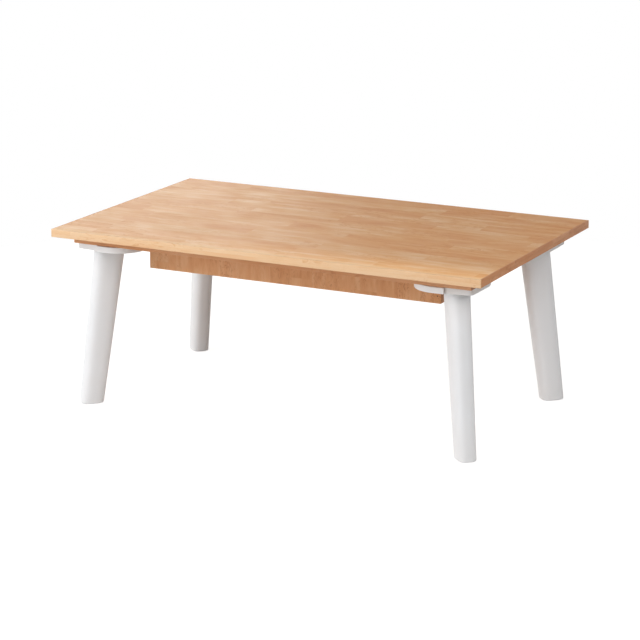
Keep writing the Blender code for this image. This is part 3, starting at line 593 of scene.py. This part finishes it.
STEEL = drawn_metal("zinc_plated_steel", (0.48, 0.485, 0.50), (0.35, 0.35, 0.36))
COIL_WIRE = drawn_metal("oxidised_coil_wire", (0.34, 0.28, 0.25), (0.22, 0.18, 0.16))
PIN_STEEL = plain_moulding("blackened_pin_heads", (0.05, 0.03, 0.02), (0.09, 0.05, 0.03),
                           roughness=0.5, texture_scale=900.0, texture_depth=0.00005)
PAD_RUBBER = plain_moulding("grey_rubber", (0.16, 0.155, 0.15), (0.22, 0.21, 0.20),
                            roughness=0.8, texture_scale=1400.0, texture_depth=0.00008)
GLIDE_PLASTIC = plain_moulding("pale_glide_plastic", (0.62, 0.60, 0.56), (0.50, 0.48, 0.44),
                               roughness=0.5, texture_scale=700.0, texture_depth=0.00006)
BLACK_PLASTIC = plain_moulding("black_moulding", (0.025, 0.025, 0.027), (0.05, 0.05, 0.05),
                               roughness=0.45, texture_scale=1100.0, texture_depth=0.00006)
CERAMIC = plain_moulding("white_ceramic", (0.74, 0.72, 0.68), (0.62, 0.59, 0.54),
                         roughness=0.35, texture_scale=500.0, texture_depth=0.00005)
ENAMEL = heatproof_black()
BRIGHT_SHEET = bright_rolled_sheet()
QUARTZ = tinted_quartz()


# Shapes

def filled_mesh(build_shape, name):
    """A mesh filled by a function that works on its edit mesh."""
    mesh = bpy.data.meshes.new(name)
    shape = bmesh.new()
    build_shape(shape)
    shape.to_mesh(mesh)
    shape.free()
    return mesh


def mesh_from(build_shape, name):
    """A filled mesh whose faces all look outwards, smooth where they turn gently."""
    def build_outward(shape):
        build_shape(shape)
        bmesh.ops.recalc_face_normals(shape, faces=shape.faces)

    mesh = filled_mesh(build_outward, name)
    shade_gently(mesh)
    return mesh


def shade_gently(mesh):
    mesh.shade_smooth()
    mesh.set_sharp_from_angle(angle=CRISP_ANGLE)


def round_edges(shape, edges, rounding, steps):
    bmesh.ops.bevel(shape, geom=edges, offset=rounding, segments=steps, profile=0.5, affect="EDGES")


def rounded_board(size, outward, rounding, easing, name):
    """A board whose edges on its outward side are rounded, and whose other edges are only eased."""
    def build_shape(shape):
        bmesh.ops.create_cube(shape, size=1.0)
        bmesh.ops.scale(shape, vec=Vector(size), verts=shape.verts)
        outer = [edge for edge in shape.edges if all(vert.co.dot(outward) > 0 for vert in edge.verts)]
        if outer:
            round_edges(shape, outer, rounding, BAND_ROUNDING_STEPS)
        crisp = [edge for edge in shape.edges if edge.calc_face_angle(0) > CRISP_EDGE_ANGLE]
        round_edges(shape, crisp, easing, 1)

    return mesh_from(build_shape, name)


def loft(shape, rings, hollow=False):
    """Joins rings of equally many points by faces, and closes the end rings or joins them to each other."""
    loops = [[shape.verts.new(point) for point in ring] for ring in rings]
    followers = loops[1:] + loops[:1] if hollow else loops[1:]
    for upper, lower in zip(loops, followers):
        count = len(upper)
        for index in range(count):
            following = (index + 1) % count
            shape.faces.new((upper[index], lower[index], lower[following], upper[following]))
    if not hollow:
        shape.faces.new(loops[0])
        shape.faces.new(list(reversed(loops[-1])))


def circle(radius, height, facets=ROUND_FACETS):
    angles = [2 * math.pi * index / facets for index in range(facets)]
    return [Vector((radius * math.cos(angle), radius * math.sin(angle), height)) for angle in angles]


def turned(profile, name, facets=ROUND_FACETS):
    """A turned solid about Z from (radius, height) points that run from top to bottom."""
    rings = [circle(radius, height, facets) for radius, height in profile]
    return mesh_from(lambda shape: loft(shape, rings), name)


def arc(centre, radius, start, end, facets):
    """Points on an arc, from a start to an end angle in degrees."""
    angles = [math.radians(start + (end - start) * step / facets) for step in range(facets + 1)]
    return [(centre[0] + radius * math.cos(angle), centre[1] + radius * math.sin(angle)) for angle in angles]


def quarter_round(rounding, steps):
    """How far a rounded lower edge is set in and how high it is, from the side to the bottom."""
    turns = [math.radians(90 * step / steps) for step in range(steps + 1)]
    return [(rounding * (1 - math.cos(turn)), rounding * (1 - math.sin(turn))) for turn in turns]


def plate_shape(shape, outline, thickness, rounding):
    """A plate from a closed outline around Z, with its lower edge rounded and its upper edge crisp."""
    upper = [shape.verts.new((x, y, thickness / 2)) for x, y in outline]
    face = shape.faces.new(upper)
    grown = bmesh.ops.extrude_face_region(shape, geom=[face])
    lowered = [item for item in grown["geom"] if isinstance(item, bmesh.types.BMVert)]
    bmesh.ops.translate(shape, vec=(0, 0, -thickness), verts=lowered)
    bmesh.ops.recalc_face_normals(shape, faces=shape.faces)
    rim = [edge for edge in shape.edges if all(vert.co.z < 0 for vert in edge.verts)]
    round_edges(shape, rim, rounding, SEAT_ROUNDING_STEPS)


def box_cutter(size, centre):
    def build_shape(shape):
        bmesh.ops.create_cube(shape, size=1.0)
        bmesh.ops.scale(shape, vec=Vector(size), verts=shape.verts)
        bmesh.ops.translate(shape, vec=Vector(centre), verts=shape.verts)

    return filled_mesh(build_shape, "cutter")


def in_scene(name, data):
    """A new object in the scene."""
    made = bpy.data.objects.new(name, data)
    bpy.context.scene.collection.objects.link(made)
    return made


def worked(mesh, cutters, operation="DIFFERENCE"):
    """The mesh after cutter meshes are taken away from it, or after it keeps only what lies in them."""
    workpiece = in_scene("workpiece", mesh)
    tools = []
    for cutter in cutters:
        tool = in_scene("tool", cutter)
        boolean = workpiece.modifiers.new("cut", "BOOLEAN")
        boolean.operation = operation
        boolean.object = tool
        tools.append(tool)
    evaluated = workpiece.evaluated_get(bpy.context.evaluated_depsgraph_get())
    result = bpy.data.meshes.new_from_object(evaluated)
    result.name = mesh.name
    for used in (*tools, workpiece):
        bpy.data.objects.remove(used, do_unlink=True)
    shade_gently(result)
    return result


def piece(name, mesh, finish, place, body="frame", stands_for=()):
    """A piece of the table in its place, with its finish, on the body that it moves with."""
    made = in_scene(name, mesh)
    mesh.materials.clear()
    mesh.materials.append(finish)
    made.location = place
    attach(made, body)
    if stands_for:
        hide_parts(*stands_for)
    return made


def stand_in(node, name, mesh, finish):
    """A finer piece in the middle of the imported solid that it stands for."""
    return piece(name, mesh, finish, middle_of(node), stands_for=[node])


def finish_node(node, finish):
    """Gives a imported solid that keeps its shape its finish."""
    mesh = CAD_NODES[node].data
    mesh.materials.clear()
    mesh.materials.append(finish)


def middle_of(node):
    low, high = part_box(node)
    return (low + high) / 2


def size_of(node):
    low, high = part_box(node)
    return high - low


# Top board

def make_top_board():
    """The staved panel and the bands round it, closed up to each other with only an eased seam."""
    size = size_of("top_board_core")
    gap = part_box("edge_band_right")[0].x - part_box("top_board_core")[1].x
    panel_size = (size.x + 2 * gap, size.y + 2 * gap, size.z)
    panel = rounded_board(panel_size, Vector((0, 0, 0)), 0, SEAM_EASING, "top_panel")
    middle = middle_of("top_board_core")
    piece("top_panel", panel, BOARD_WOOD, middle, "top", ["top_board_core"])
    for side in ("front", "back", "left", "right"):
        node = f"edge_band_{side}"
        middle = middle_of(node)
        size = size_of(node)
        finish = BAND_WOOD_LONG
        if side in ("left", "right"):
            finish = BAND_WOOD_END
            size.y += 2 * gap
        outward = Vector((middle.x, middle.y, 0))
        band = rounded_board(size, outward, BAND_ROUNDING, SEAM_EASING, f"board_band_{side}")
        piece(f"board_band_{side}", band, finish, middle, "top", [node])


# Frame, apron box and pads

def finish_frame():
    for node in ("frame_rail_front", "frame_rail_back"):
        finish_node(node, RAIL_WOOD_LONG)
    for node in ("frame_rail_left", "frame_rail_right", "heater_rail_left", "heater_rail_right"):
        finish_node(node, RAIL_WOOD_END)
    for node in ("apron_front", "apron_back"):
        finish_node(node, APRON_WOOD_LONG)
    for node in ("apron_left", "apron_right"):
        finish_node(node, APRON_WOOD_END)


def make_pin():
    """The pin nail that shows near the right end of the front apron board."""
    radius = PIN_HEAD_DIAMETER / 2
    profile = [(radius * share, PIN_HEAD_PROUD * rise) for share, rise in PIN_HEAD_DOME]
    low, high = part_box("apron_front")
    head = turned(profile, "apron_pin", PIN_HEAD_FACETS)
    head.transform(Matrix.Rotation(math.radians(90), 4, "X"))
    place = (high.x - PIN_FROM_END, low.y, low.z + PIN_FROM_EDGE)
    piece("apron_pin", head, PIN_STEEL, place)


def make_pads():
    for corner in CORNERS:
        node = f"anti_slip_pad_{corner}"
        size = size_of(node)
        radius = size.x / 2
        half = size.z / 2
        profile = [(radius - PAD_EASING, half), (radius, half - PAD_EASING), (radius, PAD_EASING - half),
                   (radius - PAD_EASING, -half)]
        stand_in(node, f"rubber_pad_{corner}", turned(profile, node), PAD_RUBBER)


# Seat plates, legs and their hardware

def seat_outline(side, front):
    """The plate's edge from the frame's corner inwards, with a step beside the leg and round wings."""
    near = SEAT_ROUND_RADIUS - SEAT_WING_PROUD
    far = SEAT_REACH - SEAT_ROUND_RADIUS
    end = (SEAT_EDGE_SET_IN + SEAT_END_RADIUS, SEAT_REACH - SEAT_END_RADIUS)
    nose = (SEAT_NOSE_SIDE_SET_IN + SEAT_NOSE_RADIUS, SEAT_NOSE_SET_IN + SEAT_NOSE_RADIUS)
    points = [(SEAT_STEP_FROM_CORNER, -SEAT_WING_PROUD)]
    points += arc((far, near), SEAT_ROUND_RADIUS, -90, 45, SEAT_WING_FACETS)
    points += arc(end, SEAT_END_RADIUS, 45, 180, SEAT_WING_FACETS)
    points.append((SEAT_EDGE_SET_IN, SEAT_STEP_FROM_CORNER))
    points += arc(nose, SEAT_NOSE_RADIUS, 180, 270, SEAT_NOSE_FACETS)
    points.append((SEAT_STEP_FROM_CORNER, SEAT_STEP_SET_IN))
    return [(-side * along, -front * across) for along, across in points]


def from_corner(side, front, set_in, height):
    """A place set in from a corner of the frame, at a height."""
    frame_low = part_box("frame_rail_left")[0]
    frame_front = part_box("frame_rail_front")[0]
    return Vector((side * (-frame_low.x - set_in), front * (-frame_front.y - set_in), height))


def make_seats():
    apron_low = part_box("apron_left")[0]
    apron_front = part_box("apron_front")[0]
    for corner, (side, front) in CORNERS.items():
        node = f"seat_plate_{corner}"
        size = size_of(node)
        place = from_corner(side, front, 0, middle_of(node).z)
        outline = seat_outline(side, front)
        plate = mesh_from(lambda shape: plate_shape(shape, outline, size.z, SEAT_ROUNDING), node)
        slit_x = -side * (SEAT_STEP_FROM_CORNER - SEAT_SLIT_WIDTH / 2)
        slit_size = (SEAT_SLIT_WIDTH, 2 * SEAT_SLIT_DEPTH, 2 * size.z)
        cutters = [box_cutter(slit_size, (slit_x, -front * SEAT_NOSE_SET_IN, 0))]
        apron_length = -2 * apron_low.x + 2 * SEAT_APRON_CLEARANCE
        apron_depth = -2 * apron_front.y + 2 * SEAT_APRON_CLEARANCE
        cutters.append(box_cutter((apron_length, apron_depth, 2 * size.z), (-place.x, -place.y, 0)))
        for wing in ("along", "across"):
            screw = f"seat_screw_{corner}_{wing}"
            middle = middle_of(screw)
            hole = turned(countersunk(screw, SCREW_HOLE_GROWTH), "hole", SMALL_ROUND_FACETS)
            hole.transform(Matrix.Translation((middle.x - place.x, middle.y - place.y, -size.z / 2)))
            cutters.append(hole)
        seat = worked(plate, cutters)
        piece(f"white_seat_{corner}", seat, WHITE_PAINT, place, stands_for=[node])


def countersunk(node, growth):
    """Profile of a countersunk screw with its head's face at zero, from its point to its head."""
    low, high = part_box(node)
    head = (high.x - low.x) / 2 + growth
    shank = head / 2
    point = high.z - low.z
    return [(shank * SCREW_POINT_SHARE, point), (shank, point - shank), (shank, SCREW_HEAD_DEPTH),
            (head, SCREW_HEAD_RIM), (head, -growth)]


def crossed_screw(profile, name):
    """A turned screw with its head's face at zero, and a cross of two tapered bars cut into that."""
    bars = []
    for turn in (0, 90):
        bar = box_cutter((SCREW_CROSS_LENGTH, SCREW_CROSS_WIDTH, 2 * SCREW_CROSS_DEPTH), (0, 0, 0))
        for vert in bar.vertices:
            if vert.co.z > 0:
                vert.co.x *= SCREW_CROSS_TAPER
        bar.transform(Matrix.Rotation(math.radians(turn), 4, "Z"))
        bars.append(bar)
    return worked(turned(profile, name, SMALL_ROUND_FACETS), bars)


def make_seat_screws():
    for corner in CORNERS:
        for wing in ("along", "across"):
            node = f"seat_screw_{corner}_{wing}"
            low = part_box(node)[0]
            middle = middle_of(node)
            screw = crossed_screw(countersunk(node, 0), node)
            name = f"seat_plate_screw_{corner}_{wing}"
            piece(name, screw, STEEL, (middle.x, middle.y, low.z), stands_for=[node])


def leg_rings(side, front, height, glide):
    """Rings from the leg's top to the recess in its foot, leaning out, long side on the diagonal."""
    def turned_ring(long_side, short_side, lean, drop, squareness=2.0):
        points = []
        for point in circle(1.0, 0.0, LEG_FACETS):
            along = math.copysign(abs(point.x) ** (2 / squareness), point.x) * long_side
            across = math.copysign(abs(point.y) ** (2 / squareness), point.y) * short_side
            section = Matrix.Rotation(math.radians(45), 2) @ Vector((along, across))
            points.append(Vector((side * (section.x + lean.x), front * (section.y + lean.y), -drop)))
        return points

    def ring(drop, inset):
        share = drop / height
        long_side = LEG_LONG_SHARE * (LEG_TOP_LONG + (LEG_FOOT_LONG - LEG_TOP_LONG) * share) / 2 - inset
        short_side = LEG_SHORT_SHARE * (LEG_TOP_SHORT + (LEG_FOOT_SHORT - LEG_TOP_SHORT) * share) / 2 - inset
        lean = Vector((LEG_SPLAY_ALONG * share, LEG_SPLAY_ACROSS * share))
        return turned_ring(long_side, short_side, lean, drop, LEG_SQUARENESS)

    rings = [ring(0, LEG_TOP_EASING), ring(LEG_TOP_EASING, 0)]
    rings += [ring(height * share, 0) for share in LEG_RING_SHARES]
    rings += [ring(height - rise, inset) for inset, rise in quarter_round(LEG_FOOT_ROUNDING, LEG_FOOT_STEPS)]
    recess = glide.x / 2 + GLIDE_CLEARANCE
    foot_lean = Vector((LEG_SPLAY_ALONG, LEG_SPLAY_ACROSS))
    rings.append(turned_ring(recess, recess, foot_lean, height))
    rings.append(turned_ring(recess, recess, foot_lean, height - glide.z))
    return rings


def make_legs():
    for corner, (side, front) in CORNERS.items():
        node = f"leg_{corner}"
        low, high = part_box(node)
        place = from_corner(side, front, LEG_TOP_SET_IN, high.z)
        rings = leg_rings(side, front, high.z - low.z, size_of(f"foot_glide_{corner}"))
        mesh = mesh_from(lambda shape: loft(shape, rings), node)
        piece(f"white_leg_{corner}", mesh, WHITE_PAINT, place, stands_for=[node])


def make_glides():
    for corner in CORNERS:
        node = f"foot_glide_{corner}"
        size = size_of(node)
        radius = size.x / 2
        half = size.z / 2
        profile = [(radius, half)]
        for inset, rise in quarter_round(GLIDE_ROUNDING, GLIDE_ROUNDING_STEPS):
            profile.append((radius - inset, -half + rise))
        stand_in(node, f"glide_disc_{corner}", turned(profile, node), GLIDE_PLASTIC)


def make_leg_hardware():
    """A bolt with a cut thread at its upper end and a chamfered nut for each leg."""
    for corner in CORNERS:
        bolt = f"leg_bolt_{corner}"
        bolt_size = size_of(bolt)
        radius = bolt_size.x / 2
        half = bolt_size.z / 2
        mesh = mesh_from(lambda shape: loft(shape, thread_rings(radius, half)), bolt)
        stand_in(bolt, f"threaded_bolt_{corner}", mesh, STEEL)
        nut = f"leg_nut_{corner}"
        stand_in(nut, f"hexagon_nut_{corner}", nut_mesh(size_of(nut), radius, nut), STEEL)


def thread_rings(radius, half):
    """Rings from the bolt's upper end down: a point, a helical thread and then the plain shank."""
    facets = SMALL_ROUND_FACETS
    rings = [circle(radius - BOLT_THREAD_DEPTH, half, facets)]
    for step in range(BOLT_THREAD_TURNS * BOLT_STEPS_PER_TURN):
        drop = BOLT_PITCH * (step + 1) / BOLT_STEPS_PER_TURN
        ring = []
        for index, point in enumerate(circle(1.0, half - drop, facets)):
            turn = (drop / BOLT_PITCH + index / facets) % 1.0
            groove = BOLT_THREAD_DEPTH * abs(2 * turn - 1)
            ring.append(Vector((point.x * (radius - groove), point.y * (radius - groove), point.z)))
        rings.append(ring)
    plain = half - BOLT_PITCH * (BOLT_THREAD_TURNS + 1)
    rings += [circle(radius, plain, facets), circle(radius, -half, facets)]
    return rings


def nut_mesh(size, bolt_radius, name):
    """A hexagon nut whose corners are turned off at both faces."""
    half = size.z / 2
    corner = max(size.x, size.y) / 2
    flat = corner * math.cos(math.radians(30))
    hexagon = turned([(corner, half), (corner, -half)], name, 6)
    fall = (corner - flat) * math.tan(math.radians(NUT_CHAMFER_ANGLE))
    waist = corner + fall
    chamfer = [(flat, half), (waist, half - 2 * fall), (waist, 2 * fall - half), (flat, -half)]
    turned_off = turned(chamfer, "chamfer", NUT_CHAMFER_FACETS)
    bore = turned([(bolt_radius, 2 * half), (bolt_radius, -2 * half)], "bore", SMALL_ROUND_FACETS)
    return worked(worked(hexagon, [turned_off], "INTERSECT"), [bore])


# Heater

def make_heater():
    """The tray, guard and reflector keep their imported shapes, and carry finer pieces."""
    for node in ("heater_housing", "heater_guard"):
        finish_node(node, ENAMEL)
    finish_node("heater_reflector", BRIGHT_SHEET)
    for row in ("front", "back"):
        make_heating_tube(row)
        for end in ("left", "right"):
            make_heater_screw(f"heater_screw_{row}_{end}", f"heater_pan_screw_{row}_{end}")
    make_thermostat()
    make_inlet()


def make_heating_tube(row):
    """A quartz tube with a wound wire in it and a ceramic cap at each end."""
    node = f"heater_tube_{row}"
    size = size_of(node)
    half = size.x / 2 - TUBE_CAP_LENGTH + TUBE_CAP_SEAT
    bore = TUBE_RADIUS - TUBE_WALL
    rings = [circle(TUBE_RADIUS, half), circle(TUBE_RADIUS, -half), circle(bore, -half), circle(bore, half)]
    glass = mesh_from(lambda shape: loft(shape, rings, hollow=True), f"quartz_tube_{row}")
    glass.transform(Matrix.Rotation(math.radians(90), 4, "Y"))
    stand_in(node, f"quartz_tube_{row}", glass, QUARTZ)
    wire = mesh_from(lambda shape: loft(shape, coil_rings(half)), f"heating_coil_{row}")
    piece(f"heating_coil_{row}", wire, COIL_WIRE, middle_of(node))
    for end, turn in (("left", -90), ("right", 90)):
        cap = turned(cap_profile(size), f"ceramic_cap_{row}_{end}")
        cap.transform(Matrix.Rotation(math.radians(turn), 4, "Y"))
        stand_in(node, f"ceramic_cap_{row}_{end}", cap, CERAMIC)


def coil_rings(half):
    """Rings along a wire that winds about X from one end to the other."""
    steps = round(2 * half / COIL_PITCH * COIL_STEPS_PER_TURN)
    section = circle(COIL_WIRE_RADIUS, 0, COIL_WIRE_FACETS)
    rings = []
    for step in range(steps + 1):
        angle = 2 * math.pi * step / COIL_STEPS_PER_TURN
        outward = Vector((0, math.cos(angle), math.sin(angle)))
        centre = outward * COIL_RADIUS + Vector((2 * half * step / steps - half, 0, 0))
        rings.append([centre + outward * point.x + Vector((point.y, 0, 0)) for point in section])
    return rings


def cap_profile(tube_size):
    """A cap from its outer end to the seat for the glass, with eased edges and a groove round it."""
    radius = tube_size.z / 2
    outer = tube_size.x / 2
    inner = outer - TUBE_CAP_LENGTH
    groove = inner + TUBE_CAP_LENGTH / 3
    eased = radius - TUBE_CAP_EASING
    seat = TUBE_RADIUS + TUBE_CAP_CLEARANCE
    return [(eased, outer), (radius, outer - TUBE_CAP_EASING),
            (radius, groove + TUBE_CAP_EASING), (eased, groove), (radius, groove - TUBE_CAP_EASING),
            (radius, inner + TUBE_CAP_EASING), (eased, inner), (seat, inner), (seat, inner + TUBE_CAP_SEAT)]


def make_heater_screw(node, name):
    """A pan-head screw with a cross in its head, up through the tray's flange."""
    low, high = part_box(node)
    head = (high.x - low.x) / 2
    shank = HEATER_SCREW_SHANK / 2
    point = high.z - low.z
    profile = [(shank * SCREW_POINT_SHARE, point), (shank, point - shank), (shank, HEATER_SCREW_HEAD),
               (head, HEATER_SCREW_HEAD)]
    profile += [(head * share, HEATER_SCREW_HEAD * (1 - rise)) for share, rise in HEATER_SCREW_DOME]
    screw = crossed_screw(profile, name)
    middle = middle_of(node)
    piece(name, screw, STEEL, (middle.x, middle.y, low.z), stands_for=[node])


def make_thermostat():
    """A stepped button on the tray's back."""
    node = "heater_thermostat"
    radius = size_of(node).x / 2
    half = size_of(node).z / 2
    neck = radius * BUTTON_NECK_SHARE
    shoulder = half - BUTTON_STEP
    profile = [(neck - BUTTON_EASING, half), (neck, half - BUTTON_EASING), (neck, shoulder),
               (radius - BUTTON_EASING, shoulder), (radius, shoulder - BUTTON_EASING), (radius, -half)]
    stand_in(node, "thermostat_button", turned(profile, node), BLACK_PLASTIC)


def make_inlet():
    """A moulded two-pin inlet: a shroud with round corners, and round-ended pins."""
    node = "heater_inlet"
    size = size_of(node)
    middle = middle_of(node)
    mouth = size.x / 2
    floor = mouth - INLET_SOCKET_DEPTH
    width, height = size.y, size.z
    opening = (width - 2 * INLET_WALL, height - 2 * INLET_WALL)
    lip = 2 * INLET_EASING
    rings = [round_rectangle(width, height, INLET_CORNER, -mouth),
             round_rectangle(width, height, INLET_CORNER, mouth - INLET_EASING),
             round_rectangle(width - lip, height - lip, INLET_CORNER - INLET_EASING, mouth),
             round_rectangle(opening[0] + lip, opening[1] + lip, INLET_CORNER - INLET_EASING, mouth),
             round_rectangle(*opening, INLET_CORNER / 2, mouth - INLET_EASING),
             round_rectangle(*opening, INLET_CORNER / 2, floor)]
    shroud = mesh_from(lambda shape: loft(shape, rings), "inlet_shroud")
    stand_in(node, "inlet_shroud", shroud, BLACK_PLASTIC)
    radius = INLET_PIN_DIAMETER / 2
    profile = [(radius * share, INLET_PIN_LENGTH - radius * fall) for share, fall in INLET_PIN_DOME]
    profile.append((radius, 0.0))
    for name, side in (("front", -1), ("back", 1)):
        pin = turned(profile, f"inlet_pin_{name}", SMALL_ROUND_FACETS)
        pin.transform(Matrix.Rotation(math.radians(90), 4, "Y"))
        place = middle + Vector((floor, side * INLET_PIN_SPACING / 2, 0))
        piece(f"inlet_pin_{name}", pin, STEEL, place, stands_for=[node])


def round_rectangle(width, height, radius, depth):
    """Ring of a rectangle with round corners that faces along X."""
    ring = []
    for across, up, start in ((1, 1, 0), (-1, 1, 90), (-1, -1, 180), (1, -1, 270)):
        corner = (across * (width / 2 - radius), up * (height / 2 - radius))
        bend = arc(corner, radius, start, start + 90, INLET_CORNER_FACETS)
        ring += [Vector((depth, y, z)) for y, z in bend]
    return ring


# Studio

def shows_background(tree):
    """One for the rays that show the white background, straight, mirrored or through glass."""
    rays = add(tree, "ShaderNodeLightPath").outputs
    mirrored = calc(tree, "MAXIMUM", rays["Is Glossy Ray"], rays["Is Transmission Ray"])
    return calc(tree, "MAXIMUM", rays["Is Camera Ray"], mirrored)


def make_floor():
    """A wide pale floor that looks white to the camera and keeps the table's soft shadow."""
    def build_shape(shape):
        bmesh.ops.create_circle(shape, cap_ends=True, segments=FLOOR_FACETS, radius=FLOOR_RADIUS)

    mesh = filled_mesh(build_shape, "studio_floor")
    floor = in_scene("studio_floor", mesh)
    material = bpy.data.materials.new("pale_floor")
    material.use_nodes = True
    tree = material.node_tree
    tree.nodes.clear()
    seen = shows_background(tree)
    plain = add(tree, "ShaderNodeBsdfDiffuse", {"Color": opaque(FLOOR_TONE)})
    shadowed = add(tree, "ShaderNodeBsdfDiffuse", {"Color": opaque(FLOOR_SHADOW_TONE)})
    glow = add(tree, "ShaderNodeEmission", {"Color": opaque(BACKGROUND_TONE), "Strength": FLOOR_GLOW})
    lifted = add(tree, "ShaderNodeAddShader", {0: shadowed.outputs[0], 1: glow.outputs[0]})
    floor_shader = add(tree, "ShaderNodeMixShader", {0: seen, 1: plain.outputs[0], 2: lifted.outputs[0]})
    add(tree, "ShaderNodeOutputMaterial", {"Surface": floor_shader.outputs[0]})
    mesh.materials.append(material)


def make_world():
    """White where the camera looks past the floor, and a plain even light elsewhere."""
    world = bpy.data.worlds.new("studio_white")
    bpy.context.scene.world = world
    world.use_nodes = True
    tree = world.node_tree
    tree.nodes.clear()
    seen = shows_background(tree)
    strength = spread(tree, seen, 0, 1, EVEN_LIGHT, 1.0)
    background = add(tree, "ShaderNodeBackground", {"Color": opaque(BACKGROUND_TONE), "Strength": strength})
    add(tree, "ShaderNodeOutputWorld", {"Surface": background.outputs[0]})


def make_lamp(name, place, size, power, colour):
    """A soft rectangular lamp that faces the table."""
    lamp = bpy.data.lights.new(name, "AREA")
    lamp.shape = "RECTANGLE"
    lamp.size, lamp.size_y = size
    lamp.energy = power
    lamp.color = colour
    holder = in_scene(name, lamp)
    holder.location = place
    holder.rotation_euler = (Vector(LAMP_AIM) - Vector(place)).to_track_quat("-Z", "Y").to_euler()


def make_camera():
    camera = bpy.data.cameras.new("photo_camera")
    camera.lens = CAMERA_LENS
    camera.sensor_width = SENSOR_WIDTH
    holder = in_scene("photo_camera", camera)
    holder.location = CAMERA_PLACE
    holder.rotation_euler = (math.radians(90 - CAMERA_DOWN), 0, math.radians(CAMERA_TURN))
    bpy.context.scene.camera = holder


make_camera()
make_floor()
make_world()
for lamp_settings in LAMPS:
    make_lamp(*lamp_settings)
make_top_board()
finish_frame()
make_pin()
make_pads()
make_seats()
make_seat_screws()
make_legs()
make_glides()
make_leg_hardware()
make_heater()

scene = bpy.context.scene
scene.view_settings.view_transform = "Standard"
